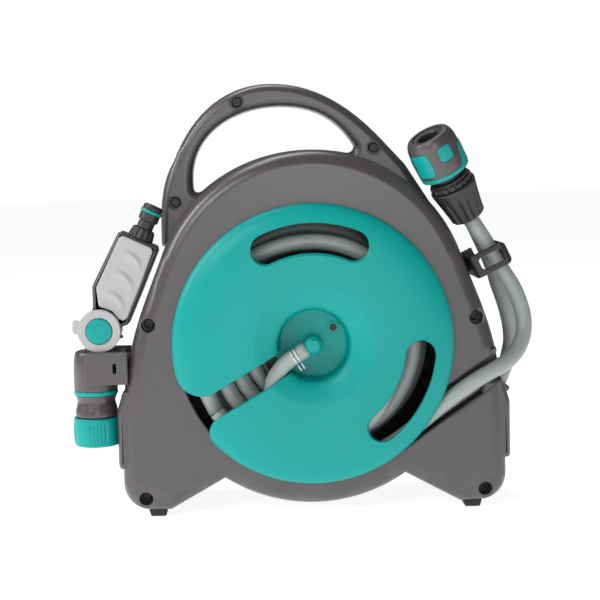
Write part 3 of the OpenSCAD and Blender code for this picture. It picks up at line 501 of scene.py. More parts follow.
HALF_W, ARCH_TOP_Z, ARCH_R = 152, 287, 125
FRONT_Y, REAR_Y, WALL = -50, 56, 3
OPENING_R, BELLY_R, EDGE_R = 106, 128, 12
ARCH_Z = ARCH_TOP_Z - ARCH_R
flank_top = (ARCH_R * math.cos(math.radians(20)), ARCH_Z + ARCH_R * math.sin(math.radians(20)))
right_half = (arc(0, ARCH_Z, ARCH_R, 90, 20, 30)
              + bezier(flank_top, (flank_top[0] + 18, flank_top[1] - 46), (HALF_W, 130), (HALF_W, 50), 18)
              + arc(HALF_W - 22, 28, 22, 0, -90, 12)
              + [(HALF_W - 37, 6)]
              + arc(0, AXIS_Z, BELLY_R, -56, -90, 16))
body_outline = right_half + [(-x, z) for x, z in reversed(right_half) if abs(x) > 0.5]
handle_outline = ([(-118, 214)] + bezier((-118, 214), (-118, 240), (-118, 262), (-106, 281), 10)
                  + bezier((-106, 281), (-90, 320), (-62, 340), (-29, 340), 16)
                  + bezier((-29, 340), (8, 340), (36, 320), (60, 294), 14)
                  + [(78, 274.4), (118, 212), (60, 180), (-60, 180)])
grip_hole = ([(-92, 260)] + bezier((-92, 260), (-95, 300), (-60, 322.5), (-22, 322.5), 20)
             + bezier((-22, 322.5), (10, 322.5), (26, 309), (38, 291), 14)
             + bezier((38, 291), (40, 287), (36, 284), (31, 284.5), 6)
             + bezier((31, 284.5), (-10, 293), (-52, 284), (-84, 257), 16)
             + bezier((-84, 257), (-88, 254), (-92, 255), (-92, 259), 5))
HANDLE_HALF, HANDLE_EDGE = 17, 6.5
BODY_SCREWS = [(-128, 154), (128, 154), (-HALF_W + 18, 17), (HALF_W - 18, 17)]
HANDLE_SCREWS = [(-55, 326), (-106, 248), (53, 288)]
RECESS_R = 5.5


def shell(face_y):
    """One half of the housing: outer skin, handle half and hollow."""
    way = 1 if face_y > 0 else -1
    seam = [(0, -0.5), (way * 0.5, 0)]
    body = slab(body_outline, seam + edge_levels(way, face_y, 0, EDGE_R, 9)[1:])
    grip = slab(handle_outline, seam + edge_levels(way, way * HANDLE_HALF, 0, HANDLE_EDGE, 6)[1:])
    hole = slab(grip_hole, [(-way, 0.5), (0, 0.5), (way * 0.5, 0)]
                + [(way * HANDLE_HALF - way * HANDLE_EDGE * (1 - math.sin(a)),
                    HANDLE_EDGE * (1 - math.cos(a)))
                   for a in (math.pi / 2 * i / 6 for i in range(7))] + [(way * 22, HANDLE_EDGE)])
    combine("DIFFERENCE", grip, hole)
    combine("UNION", body, grip)
    hollow = slab(grown(body_outline, -WALL), [(-way, 0)] + edge_levels(0, face_y - way * WALL, 0, 9, 5))
    combine("DIFFERENCE", body, hollow)
    return body


front = shell(FRONT_Y)
GUTTER_FLOOR_Y = FRONT_Y + 13
gutter_turn = Matrix.Rotation(math.radians(34), 2)
gutter = [tuple(gutter_turn @ Vector(p) + Vector((76, 66)))
          for p in rounded([(-28, -9), (98, -9), (98, 12), (-28, 12)], [4, 0, 0, 4])]
bed = slab(grown(gutter, WALL), [(FRONT_Y + 2, 0), (GUTTER_FLOOR_Y + WALL, 0)])
inside = slab(grown(body_outline, -0.6), [(FRONT_Y + 1, 0), (0, 0)])
combine("UNION", front, combine("INTERSECT", bed, inside))
cutters = [slab(gutter, flare_levels(FRONT_Y, GUTTER_FLOOR_Y - 3, 2.5)[:-1]
                + [(GUTTER_FLOOR_Y - 3, 0), (GUTTER_FLOOR_Y - 0.9, -0.9), (GUTTER_FLOOR_Y, -3)]),
           slab(circle(0, AXIS_Z, OPENING_R, 128), flare_levels(FRONT_Y, 1, 1.6))]
cutters += [slab(circle(x, z, RECESS_R, 40), flare_levels(FRONT_Y, FRONT_Y + 16, 0.8))
            for x, z in BODY_SCREWS]
cutters += [slab(circle(x, z, RECESS_R, 40), flare_levels(-HANDLE_HALF, -HANDLE_HALF + 6, 0.8))
            for x, z in HANDLE_SCREWS]
posts = [slab(circle(x, z, 7.5, 40), [(FRONT_Y + WALL - 1, 0), (0, 0)]) for x, z in BODY_SCREWS]
combine("UNION", front, *posts)
combine("DIFFERENCE", front, *cutters)
for side in (-1, 1):
    lug = slab(rounded([(side * x, z) for x, z in ((HALF_W - 20, 41), (HALF_W + 2.8, 41), (HALF_W + 2.8, 86),
                                                   (HALF_W - 2.5, 104), (HALF_W - 20, 104))],
                       [0, 3, 9, 6, 0]),
               edge_levels(FRONT_Y + 2, -38, 4, 1))
    combine("UNION", front, lug)
fit(finish(front, "front_housing"), "housing", "housing", HOUSING, "front_shell")

rear = shell(REAR_Y)
LUG_CORNERS = [(HALF_W - 20, 28), (HALF_W + 8, 28), (HALF_W + 8, 50), (HALF_W + 4, 84), (HALF_W - 20, 84)]
for side in (-1, 1):
    lug = slab(rounded([(side * x, z) for x, z in LUG_CORNERS], [0, 3, 10, 5, 0]), edge_levels(4, 40, 4))
    combine("UNION", rear, lug)
BUSH_R = 15
combine("DIFFERENCE", rear,
        slab(grown(body_outline, -WALL), [(-1, 0)] + edge_levels(0, REAR_Y - WALL, 0, 9, 5)),
        slab(circle(0, AXIS_Z, BUSH_R, 64), [(30, 0), (REAR_Y + 5, 0)]),
        slab(circle(0, AXIS_Z, OPENING_R, 128), [(-1, 0), (HANDLE_HALF + 1, 0)]))
fit(finish(rear, "rear_housing"), "housing", "housing", HOUSING, "rear_shell")


# ---------------------------------------------------------------------------
# Housing screws: zinc-black self-tapping screws with a cross recess, four in
# the body and three in the handle, sunk into their holes. One screw is drawn
# and set out over the places, each at its own turn.
# ---------------------------------------------------------------------------
def dark_zinc():
    material, surface = begin("black_zinc", 0.38, Metallic=0.9)
    where = on_object()
    tarnish = noise(where, 300, 4, 0.6)
    join(blend(tarnish, rgb(0.03, 0.03, 0.032), rgb(0.09, 0.088, 0.085)), surface, "Base Color")
    join(0.3 + 0.3 * tarnish, surface, "Roughness")
    raise_surface(surface, noise(where, 1400, 2), 0.00004, 0.5)
    return material


def bright_steel():
    material, surface = begin("plated_steel", 0.26, Metallic=1.0)
    where = on_object()
    tarnish = noise(where, 240, 4, 0.6)
    spots = steps(noise(where, 700, 3, 0.7), 0.64, 0.72)
    colour = blend(tarnish, rgb(0.58, 0.58, 0.60), rgb(0.74, 0.74, 0.75))
    join(blend(0.4 * spots, colour, rgb(0.30, 0.27, 0.24)), surface, "Base Color")
    join(0.2 + 0.2 * tarnish + 0.2 * spots, surface, "Roughness")
    raise_surface(surface, noise(where, 2200, 2), 0.00003, 0.4)
    return material


BLACK_ZINC = dark_zinc()
STEEL = bright_steel()


def turned(profile, place=Matrix(), sides=96, shape=None):
    """A solid turned about its own Z axis from (radius, height) points; shape(angle, radius, z) may
    change the radius round it. Points at radius 0 close its ends."""
    work = bmesh.new()
    rings = []
    for radius, z in profile:
        if radius < 1e-6:
            rings.append([work.verts.new(place @ Vector((0, 0, z)))])
            continue
        ring = []
        for k in range(sides):
            a = 2 * math.pi * k / sides
            r = shape(a, radius, z) if shape else radius
            ring.append(work.verts.new(place @ Vector((r * math.cos(a), r * math.sin(a), z))))
        rings.append(ring)
    closed = len(rings[0]) > 1
    for near, far in zip(rings, rings[1:] + (rings[:1] if closed else [])):
        for k in range(sides):
            j = (k + 1) % sides
            if len(near) == 1 and len(far) == 1:
                continue
            corners = [near[0]] if len(near) == 1 else [near[k], near[j]]
            corners += [far[0]] if len(far) == 1 else [far[j], far[k]]
            work.faces.new(corners)
    bmesh.ops.recalc_face_normals(work, faces=work.faces)
    mesh = bpy.data.meshes.new("shape")
    work.to_mesh(mesh)
    work.free()
    return new_object("shape", mesh)


def softened(profile, radius=0.6, count=3, closed=False):
    """A turned profile with its corners rounded."""
    if closed:
        return rounded(profile, radius, count)
    inner = rounded(profile, [0] + [radius] * (len(profile) - 2) + [0], count)
    return inner


def along_y(x, z, y):
    """A place whose own Z axis points to the rear."""
    return Matrix.Translation((x, y, z)) @ Matrix.Rotation(math.radians(-90), 4, "X")


def screw_shape(head_r, head_h, stem_r, stem_l, cross=True, place=Matrix()):
    screw = turned(softened([(0, 0), (head_r * 0.8, 0), (head_r, head_h * 0.5), (head_r, head_h),
                             (stem_r, head_h), (stem_r, stem_l), (0, stem_l + stem_r)], 0.3, 2), sides=24)
    if cross:
        size = head_r * 0.62
        for a, b in ((size, 0.16 * head_r), (0.16 * head_r, size)):
            combine("DIFFERENCE", screw, closed_skin([[(-a, -b, z), (a, -b, z), (a, b, z), (-a, b, z)]
                                                      for z in (-1, head_h * 0.6)]))
    screw.data.transform(place)
    return screw


def set_out_tree():
    """Geometry Nodes: one fastener on each point, turned at random about the Y axis."""
    tree = bpy.data.node_groups.new("fasteners_on_points", "GeometryNodeTree")
    tree.interface.new_socket("Geometry", in_out="INPUT", socket_type="NodeSocketGeometry")
    tree.interface.new_socket("Fastener", in_out="INPUT", socket_type="NodeSocketObject")
    tree.interface.new_socket("Turn", in_out="INPUT", socket_type="NodeSocketFloat")
    tree.interface.new_socket("Finish", in_out="INPUT", socket_type="NodeSocketMaterial")
    tree.interface.new_socket("Geometry", in_out="OUTPUT", socket_type="NodeSocketGeometry")
    nodes, links = tree.nodes, tree.links
    given, made = nodes.new("NodeGroupInput"), nodes.new("NodeGroupOutput")
    points = nodes.new("GeometryNodeMeshToPoints")
    what = nodes.new("GeometryNodeObjectInfo")
    turn = nodes.new("FunctionNodeRandomValue")
    turn.data_type = "FLOAT"
    turn.inputs["Seed"].default_value = 7
    axis = nodes.new("ShaderNodeCombineXYZ")
    copies = nodes.new("GeometryNodeInstanceOnPoints")
    solid = nodes.new("GeometryNodeRealizeInstances")
    coat = nodes.new("GeometryNodeSetMaterial")
    links.new(given.outputs["Geometry"], points.inputs["Mesh"])
    links.new(given.outputs["Fastener"], what.inputs["Object"])
    links.new(given.outputs["Turn"], turn.inputs[3])
    links.new(turn.outputs[1], axis.inputs["Y"])
    links.new(points.outputs["Points"], copies.inputs["Points"])
    links.new(what.outputs["Geometry"], copies.inputs["Instance"])
    links.new(axis.outputs["Vector"], copies.inputs["Rotation"])
    links.new(copies.outputs["Instances"], solid.inputs["Geometry"])
    links.new(solid.outputs["Geometry"], coat.inputs["Geometry"])
    links.new(given.outputs["Finish"], coat.inputs["Material"])
    links.new(coat.outputs["Geometry"], made.inputs["Geometry"])
    return tree


def run_tree(tree, points, values):
    """Evaluates a tree on a mesh of points and keeps the result as a plain mesh."""
    mesh = bpy.data.meshes.new("points")
    mesh.from_pydata(points, [], [])
    base = new_object("shape", mesh)
    modifier = base.modifiers.new("tree", "NODES")
    modifier.node_group = tree
    for item in tree.interface.items_tree:
        if item.in_out == "INPUT" and item.name in values:
            modifier[item.identifier] = values[item.name]
    bpy.context.view_layer.update()
    result = bpy.data.meshes.new_from_object(base.evaluated_get(bpy.context.evaluated_depsgraph_get()))
    base.modifiers.clear()
    base.data = result
    return base


SET_OUT = set_out_tree()


def fasteners(name, screw, places, finish_coat, body, slot, *nodes):
    made = run_tree(SET_OUT, places, {"Fastener": screw, "Turn": 2 * math.pi, "Finish": finish_coat})
    bpy.data.objects.remove(screw)
    return fit(finish(made, name, 40), body, slot, finish_coat, *nodes)


to_rear = Matrix.Rotation(math.radians(-90), 4, "X")
fasteners("housing_screw_set", screw_shape(4.2, 2.4, 2, 22, True, to_rear),
          [(x, FRONT_Y + 13.6, z) for x, z in BODY_SCREWS]
          + [(x, -HANDLE_HALF + 3.6, z) for x, z in HANDLE_SCREWS],
          BLACK_ZINC, "housing", "steel", "housing_screws")


# ---------------------------------------------------------------------------
# Feet: four soft rubber blocks pressed under the legs, tapered to the floor
# and a little dirty where they stand on the ground.
# ---------------------------------------------------------------------------
def foot_rubber():
    material, surface = begin("foot_rubber", 0.7)
    where = on_object()
    cloud = noise(where, 120, 4, 0.6)
    height = Field.node("ShaderNodeSeparateXYZ", {0: where}, output=2)
    dirt = ((1 - steps(height, 0.0, 0.004)) * cloud).clamped()
    colour = blend(cloud, rgb(0.014, 0.014, 0.015), rgb(0.03, 0.03, 0.03))
    join(blend(0.5 * dirt, colour, rgb(0.10, 0.085, 0.07)), surface, "Base Color")
    join(0.6 + 0.25 * cloud, surface, "Roughness")
    raise_surface(surface, noise(where, 1200, 3), 0.0001, 0.6)
    return material


RUBBER = foot_rubber()
FOOT_X = HALF_W - 26.5
for side, name in ((-1, "left"), (1, "right")):
    for y, end in ((-30, "front"), (32, "rear")):
        x = side * FOOT_X
        block = slab(rounded([(x - 8, 7.5), (x + 8, 7.5), (x + 6, 0), (x - 6, 0)], [0, 0, 1.5, 1.5]),
                     edge_levels(y - 9, y + 9, 1.5))
        nodes = ("feet",) if side < 0 and end == "front" else ()
        fit(finish(block, f"foot_{name}_{end}"), "housing", "rubber", RUBBER, *nodes)


# ---------------------------------------------------------------------------
# Drum: a domed teal disc in glossy polypropylene carries two arc windows, a
# slot for the hose end and a well for the hub. A ribbed core and a rear
# flange, both dark, hold the turns of hose.
# ---------------------------------------------------------------------------
def teal_skin(name, light, deep, roughness):
    material, surface = begin(name, roughness, Specular_IOR_Level=0.28, Coat_Weight=0.08, Coat_Roughness=0.3,
                              Subsurface_Weight=0.05, Subsurface_Scale=0.003)
    where = on_object()
    cloud = noise(where, 14, 4)
    scratches = noise(Field.node("ShaderNodeMapping", {"Vector": where, "Scale": (1, 1, 9)}), 160, 4, 0.7)
    rubbed = steps(scratches, 0.62, 0.74)
    colour = blend(cloud, rgb(*deep), rgb(*light))
    join(blend(0.12 * rubbed, colour, rgb(0.10, 0.50, 0.47)), surface, "Base Color")
    join(roughness - 0.05 + 0.12 * cloud + 0.12 * rubbed, surface, "Roughness")
    grain = noise(where, 1300, 2) + 0.4 * noise(where, 260, 2)
    raise_surface(surface, grain, 0.00005, 0.4)
    return material


TEAL = teal_skin("teal_polypropylene", (0.0, 0.375, 0.345), (0.0, 0.315, 0.292), 0.38)
DISC_R, DOME_D, WELL_R = 110, 13, 28
WELL_FLOOR = 24
SLOT_ANGLE, SLOT_HALF = 210, 9.1
WINDOW_R, WINDOW_HALF = 83.5, 11.4


def spline(points, count=4):
    """A smooth line through turned-profile points."""
    padded = [points[0]] + list(points) + [points[-1]]
    line = []
    for a, b, c, d in zip(padded, padded[1:], padded[2:], padded[3:]):
        for i in range(count):
            t = i / count
            line.append(tuple(0.5 * (2 * q + (r - p) * t + (2 * p - 5 * q + 4 * r - s) * t * t
                                     + (3 * q - p - 3 * r + s) * t ** 3)
                              for p, q, r, s in zip(a, b, c, d)))
    return line + [points[-1]]


face_profile = ([(0, WELL_FLOOR), (WELL_R - 3, WELL_FLOOR)]
                + [(WELL_R - 3 + 2.4 * math.sin(a), WELL_FLOOR - 2.4 + 2.4 * math.cos(a))
                   for a in (math.radians(18 * i) for i in range(1, 6))]
                + spline([(WELL_R - 0.4, 15), (WELL_R, 11), (WELL_R + 1.6, 7.6), (WELL_R + 5, 5.1),
                          (WELL_R + 10, 3.1), (WELL_R + 16, 1.2), (WELL_R + 22, 0.35), (62, 0.1), (76, 0.6),
                          (88, 1.6), (97, 3.1), (103, 5.0), (106.8, 7.2), (109, 9.6), (109.9, 11.6)], 4)
                + [(DISC_R, DOME_D - 0.5), (DISC_R - 0.5, DOME_D), (DISC_R - 2.2, DOME_D)])
back_profile = spline([(DISC_R - 2.7, DOME_D - 0.8), (106, 10.4), (103, 8.2), (97, 6.0), (88, 4.5), (76, 3.5),
                       (62, 3.0), (WELL_R + 22, 3.3), (WELL_R + 14, 4.8), (WELL_R + 7, 8), (WELL_R + 3.4, 13),
                       (WELL_R + 3, 18)], 3) + [(WELL_R + 3, WELL_FLOOR + 3), (0, WELL_FLOOR + 3)]
disc = turned(face_profile + back_profile, along_y(0, AXIS_Z, DOME_Y), 160)


def window(start, end):
    """Cutter of an arc window with round ends and softened lips, from start to end in degrees."""
    middle = lambda a: (WINDOW_R * math.cos(math.radians(a)), AXIS_Z + WINDOW_R * math.sin(math.radians(a)))
    outline = (arc(0, AXIS_Z, WINDOW_R + WINDOW_HALF, start, end, 24)
               + arc(*middle(end), WINDOW_HALF, end + 11, end + 169, 14)
               + arc(0, AXIS_Z, WINDOW_R - WINDOW_HALF, end, start, 24)
               + arc(*middle(start), WINDOW_HALF, start + 191, start + 349, 14))
    return slab(outline, [(DOME_Y - 4, 1.9), (DOME_Y + 0.9, 1.8), (DOME_Y + 1.6, 1.0), (DOME_Y + 2.4, 0.4),
                          (DOME_Y + 3.4, 0.1), (DOME_Y + 4.4, 0), (DOME_Y + 16, 0)])


def slot():
    """Cutter of the hose slot: straight sides from the well, round lobes at the rim."""
    outline = [(17, SLOT_HALF), (17, -SLOT_HALF)]
    for radius, way in ((21, -1), (15, 1)):
        centre_v = SLOT_HALF + radius
        centre_u = math.sqrt((DISC_R - radius) ** 2 - centre_v ** 2)
        rim = math.degrees(math.atan2(centre_v, centre_u))
        lobe = [(u, way * v) for u, v in arc(centre_u, centre_v, radius, -90, rim, 14)]
        tip = (lobe[-1][0] + 14 * math.cos(math.radians(rim)),
               lobe[-1][1] + way * 14 * math.sin(math.radians(rim)))
        outline += lobe + [tip] if way < 0 else [tip] + lobe[::-1]
    turn = Matrix.Rotation(math.radians(SLOT_ANGLE), 2)
    outline = [tuple(turn @ Vector(p) + Vector((0, AXIS_Z))) for p in outline]
    return slab(outline, [(DOME_Y - 4, 0.9), (DOME_Y + 0.4, 0.8), (DOME_Y + 1.2, 0.35), (DOME_Y + 2.2, 0),
                          (DOME_Y + WELL_FLOOR - 0.2, 0)])


HUB_SCREWS = [(20 * math.cos(math.radians(a)), AXIS_Z + 20 * math.sin(math.radians(a))) for a in (37, 217)]
WELL_FLOOR_Y = DOME_Y + WELL_FLOOR
rings = [turned(softened([(2.4, -1), (2.4, -1.6), (4.6, -1.6), (4.6, 0.5), (2.4, 0.5)], 0.4, 2, True),
                along_y(x, z, WELL_FLOOR_Y), 40) for x, z in HUB_SCREWS]
combine("UNION", disc, *rings)
combine("DIFFERENCE", disc, window(67, 115), window(-51, -6.5), slot(),
        *[slab(circle(x, z, 2.3, 32), [(WELL_FLOOR_Y - 3, 0), (WELL_FLOOR_Y + 5, 0)]) for x, z in HUB_SCREWS],
        slab(circle(0, AXIS_Z, 5.1, 32), [(WELL_FLOOR_Y - 1, 0), (WELL_FLOOR_Y + 5, 0)]))
fit(finish(disc, "disc"), "drum", "teal_plastic", TEAL, "front_disc")


def black_skin():
    material, surface = begin("black_nylon", 0.45, Specular_IOR_Level=0.5)
    where = on_object()
    cloud = noise(where, 40, 4)
    rubbed = steps(noise(where, 220, 5, 0.7), 0.62, 0.72)
    colour = blend(cloud, rgb(0.020, 0.019, 0.020), rgb(0.034, 0.031, 0.032))
    join(blend(0.3 * rubbed, colour, rgb(0.075, 0.072, 0.072)), surface, "Base Color")
    join(0.36 + 0.14 * cloud + 0.1 * rubbed, surface, "Roughness")
    raise_surface(surface, noise(where, 1100, 3, 0.6), 0.00007, 0.5)
    return material


BLACK = black_skin()
CORE_R, FLANGE_Y, FLANGE_R = 43, 32.7, 103
CORE_FRONT_Y = -37
core = turned(softened([(CORE_R - 3, -44), (CORE_R, -44), (CORE_R, FLANGE_Y), (12.1, FLANGE_Y),
                        (12.1, FLANGE_Y - 3),
                        (CORE_R - 3, FLANGE_Y - 3), (CORE_R - 3, CORE_FRONT_Y + 3), (5.1, CORE_FRONT_Y + 3),
                        (5.1, CORE_FRONT_Y), (CORE_R - 3, CORE_FRONT_Y)], 0.5, 2, True),
              along_y(0, AXIS_Z, 0), 96)
fit(finish(core, "core"), "drum", "housing", BLACK, "drum_core")
flange = turned(softened([(12.1, FLANGE_Y), (FLANGE_R - 2, FLANGE_Y), (FLANGE_R, FLANGE_Y - 1.2),
                          (FLANGE_R, FLANGE_Y + 3), (12.1, FLANGE_Y + 3)], 0.5, 2, True),
                along_y(0, AXIS_Z, 0), 128)
for k in range(12):
    turn = Matrix.Translation((0, 0, AXIS_Z)) @ Matrix.Rotation(math.radians(30 * k), 4, "Y")
    rib = slab([(50, -1), (96, -1), (96, 1), (50, 1)], [(FLANGE_Y + 2, 0), (FLANGE_Y + 4.2, -0.3)])
    rib.data.transform(turn)
    combine("UNION", flange, rib)
fit(finish(flange, "flange"), "drum", "housing", BLACK, "rear_flange")


# ---------------------------------------------------------------------------
# Hub: a teal elbow brings water to the hose end, which is pushed on a barb
# and held by a double wire clamp with two bent ears. Two cross-head screws
# hold the disc to the core, six more hold the flange.
# ---------------------------------------------------------------------------
HUB_Y = -53
toward_slot = (Matrix.Translation((0, HUB_Y, AXIS_Z)) @ Matrix.Rotation(math.radians(-SLOT_ANGLE), 4, "Y")
               @ Matrix.Rotation(math.radians(90), 4, "Y"))
elbow = turned(softened([(0, -7.6), (4.4, -7.4), (6.8, -4.6), (7.6, -0.6), (7.2, 3), (7.2, 12.8), (3, 12.8),
                         (3, 1), (0, 1)], 1.2, 4), along_y(0, AXIS_Z, HUB_Y), 64)
barb_profile = [(0, 2), (6.1, 2), (6.1, 5.5), (5.2, 7), (4.6, 7)]
for z in (8, 12, 16):
    barb_profile += [(4.9, z + 1), (4.1, z + 4)]
barb = turned(softened(barb_profile + [(2.4, 21), (2.4, 6), (0, 6)], 0.35, 2), toward_slot, 48)
stem = turned([(0, 10), (5, 10), (5, 79), (0, 79)], along_y(0, AXIS_Z, HUB_Y), 32)
combine("UNION", elbow, barb, stem)
fit(finish(elbow, "hub_elbow"), "drum", "teal_plastic", TEAL, "hub_barb")


def wire(path, radius, sides=12, closed=False):
    """Round wire along a path in millimetres."""
    rings, turned_to = [], Vector((0, 1, 0))
    count = len(path)
    for i, p in enumerate(path):
        after = path[(i + 1) % count] if closed or i + 1 < count else p
        before = path[i - 1] if closed or i else p
        ahead = (after - before).normalized()
        turned_to = (turned_to - ahead * turned_to.dot(ahead)).normalized()
        side = ahead.cross(turned_to)
        rings.append([p + radius * (math.cos(a) * turned_to + math.sin(a) * side)
                      for a in (2 * math.pi * k / sides for k in range(sides))])
    return closed_skin(rings)


clamp_r = HOSE_R + 0.75
loop = []
for ring_z in (15.2, 18.4):
    sweep = range(-150, 151, 10) if ring_z < 16 else range(150, -151, -10)
    loop += [Vector((clamp_r * math.cos(math.radians(a)), clamp_r * math.sin(math.radians(a)), ring_z))
             for a in sweep]
ears = [Vector((-clamp_r - 3.2, -3.2, 15.2)), Vector((-clamp_r - 4.4, -2.6, 15.4))]
loop = ears[::-1] + loop + [Vector((-clamp_r - 3.2, -3.2, 18.4)), Vector((-clamp_r - 4.4, -2.6, 18.2))]
clamp = wire([toward_slot @ p for p in smooth_route(loop, 1.2)], 0.72)
fit(finish(clamp, "wire_clamp", 60), "drum", "steel", STEEL, "hose_clamp")
fasteners("hub_screw_set", screw_shape(3.4, 2, 1.5, 13, True, to_rear),
          [(x, WELL_FLOOR_Y - 2, z) for x, z in HUB_SCREWS], BLACK_ZINC, "drum", "steel", "hub_screws")
from_rear = Matrix.Rotation(math.radians(90), 4, "X")
fasteners("flange_screw_set", screw_shape(3, 1.6, 1.5, 7, True, from_rear),
          [(32 * math.cos(math.radians(a)), FLANGE_Y + 4.6, AXIS_Z + 32 * math.sin(math.radians(a)))
           for a in range(0, 360, 60)], STEEL, "drum", "steel", "flange_screws")


# ---------------------------------------------------------------------------
# Rear bearing and inlet: a white acetal bush in the rear wall, the screws of
# the water collar round it and the ribbed gland that holds the inlet hose.
# ---------------------------------------------------------------------------
def acetal_skin():
    material, surface = begin("white_acetal", 0.3, Subsurface_Weight=0.1, Subsurface_Scale=0.002)
    where = on_object()
    cloud = noise(where, 60, 3)
    join(blend(cloud, rgb(0.56, 0.56, 0.55), rgb(0.66, 0.66, 0.65)), surface, "Base Color")
    join(0.25 + 0.15 * cloud, surface, "Roughness")
    raise_surface(surface, noise(where, 900, 2), 0.00004, 0.4)
    return material


ACETAL = acetal_skin()
SHAFT_R = 12
bush = turned(softened([(SHAFT_R + 0.05, REAR_Y - WALL), (SHAFT_R + 2.9, REAR_Y - WALL),
                        (SHAFT_R + 2.9, REAR_Y + 0.1),
                        (SHAFT_R + 5, REAR_Y + 0.1), (SHAFT_R + 5, REAR_Y + 0.9),
                        (SHAFT_R + 0.05, REAR_Y + 0.9)],
                       0.25, 2, True), along_y(0, AXIS_Z, 0), 80)
fit(finish(bush, "shaft_bush"), "housing", "grip_plastic", ACETAL, "rear_bush")
fasteners("collar_screw_set", screw_shape(3, 1.2, 1.5, 6, True, from_rear),
          [(27 * math.cos(math.radians(a)), REAR_Y + 1.3, AXIS_Z + 27 * math.sin(math.radians(a)))
           for a in range(45, 360, 90)], STEEL, "housing", "steel", "collar_screws")
GLAND = Matrix.Translation((158, 20, 91)) @ Matrix.Rotation(math.radians(24), 4, "Y")
gland = turned(softened([(4, -26), (7, -26), (7, -4.2), (10.3, -4.2), (10.3, -0.6), (8, 0.2), (6.6, 0.2),
                         (4, -1)],
                        0.5, 2, True), GLAND, 64,
               lambda a, r, z: r + 0.35 * math.cos(16 * a) if r > 9 else r)
fit(finish(gland, "inlet_nut"), "housing", "black_plastic", BLACK, "inlet_gland")


# ---------------------------------------------------------------------------
# Crank: a short arm on the rear end of the shaft. Its teal knob swings out of
# the fork on a steel pin and folds flat into the arm when it isn't used.
# ---------------------------------------------------------------------------
ARM_Y, ARM_HALF, REACH, KNOB_R = 68.5, 6, 72, 10.5
FORK_HALF = KNOB_R + 1.5
tangent = math.degrees(math.acos((17 - (FORK_HALF + 4)) / REACH))
arm_outline = (arc(0, AXIS_Z, 17, tangent, 360 - tangent, 40)
               + arc(REACH, AXIS_Z, FORK_HALF + 4, -tangent, tangent, 32))
arm = slab(arm_outline, edge_levels(ARM_Y - ARM_HALF, ARM_Y + ARM_HALF, 2.2))
FORK_X = REACH - 36 - 8.5
combine("DIFFERENCE", arm,
        slab(rounded([(FORK_X, AXIS_Z - FORK_HALF), (REACH + 33, AXIS_Z - FORK_HALF),
                      (REACH + 33, AXIS_Z + FORK_HALF), (FORK_X, AXIS_Z + FORK_HALF)], [3, 0, 0, 3]),
             [(ARM_Y - 20, 0), (ARM_Y + 20, 0)]),
        slab([(-6.1, AXIS_Z - 6.1), (6.1, AXIS_Z - 6.1), (6.1, AXIS_Z + 6.1), (-6.1, AXIS_Z + 6.1)],
             [(ARM_Y - ARM_HALF - 1, 0), (ARM_Y + 1.1, 0)]),
        slab(circle(0, AXIS_Z, 9, 48), flare_levels(ARM_Y + ARM_HALF, ARM_Y + ARM_HALF - 1.2, 0.5)))
fit(finish(arm, "crank"), "drum", "housing", HOUSING, "crank_arm")
fasteners("crank_bolt", screw_shape(4.5, 2.4, 1.5, 20, True, from_rear),
          [(0, ARM_Y + ARM_HALF + 2.4, AXIS_Z)], STEEL, "drum", "steel", "crank_screw")
KNOB_PLACE = (Matrix.Translation((REACH - 9.4, ARM_Y, AXIS_Z)) @ Matrix.Rotation(math.radians(-90), 4, "Y"))
knob = turned([(3.1, 0)] + spline([(7, 0), (8.9, 0.6), (10, 2.4), (10.5, 4.6), (10, 10), (9.3, 17), (9.2, 23),
                                   (9.8, 28), (9.7, 30.6), (8.6, 32.6), (6.6, 33.6)], 4) + [(3.1, 33.6)],
              KNOB_PLACE, 96,
              lambda a, r, z: (r - 0.55 * max(0.0, math.cos(8 * a)) ** 2
                               * max(0.0, min(1, (z - 3) / 3, (28 - z) / 4))))
fit(finish(knob, "knob"), "crank_knob", "teal_plastic", TEAL, "crank_knob")


# ---------------------------------------------------------------------------
# Hose clip: a springy black loop on the right flank. Both hoses pass through
# it, and it has a window in front and a gap behind to press them in.
# ---------------------------------------------------------------------------
CLIP_PLACE = Matrix.Translation((127, 0, 190)) @ Matrix.Rotation(math.radians(-26), 4, "Y")
CLIP_W, CLIP_REACH, CLIP_FRONT, CLIP_REAR = 19, 33, -36, 19


def crosswise(outline, levels, place):
    """A plate drawn in X and Y and stacked along Z, set in a place."""
    made = closed_skin([[(x, y, z) for x, y in grown(outline, grow)] for z, grow in levels])
    made.data.transform(place)
    return made


ring_outline = rounded([(1.5, CLIP_FRONT), (CLIP_REACH, CLIP_FRONT), (CLIP_REACH, CLIP_REAR),
                        (1.5, CLIP_REAR)], 5)
clip = crosswise(ring_outline, edge_levels(-CLIP_W / 2, CLIP_W / 2, 1.6), CLIP_PLACE)
root = crosswise(rounded([(-9, 6), (4, 6), (4, 14), (-9, 14)], 1),
                 edge_levels(-CLIP_W / 2 + 3, CLIP_W / 2 - 3, 0.8), CLIP_PLACE)
combine("UNION", clip, root)
room = crosswise(rounded([(4, CLIP_FRONT + 3), (CLIP_REACH - 3, CLIP_FRONT + 3),
                          (CLIP_REACH - 3, CLIP_REAR - 3), (4, CLIP_REAR - 3)], 3.5),
                 [(-CLIP_W / 2 - 3, 1.2), (-CLIP_W / 2, 1.2), (-CLIP_W / 2 + 1.2, 0), (CLIP_W / 2 - 1.2, 0),
                  (CLIP_W / 2, 1.2), (CLIP_W / 2 + 3, 1.2)], CLIP_PLACE)
eye = slab(rounded([(8, -CLIP_W / 2 + 4.5), (CLIP_REACH - 4.5, -CLIP_W / 2 + 4.5),
                    (CLIP_REACH - 4.5, CLIP_W / 2 - 4.5), (8, CLIP_W / 2 - 4.5)], 3),
           flare_levels(CLIP_FRONT, CLIP_FRONT + 5, 0.8))
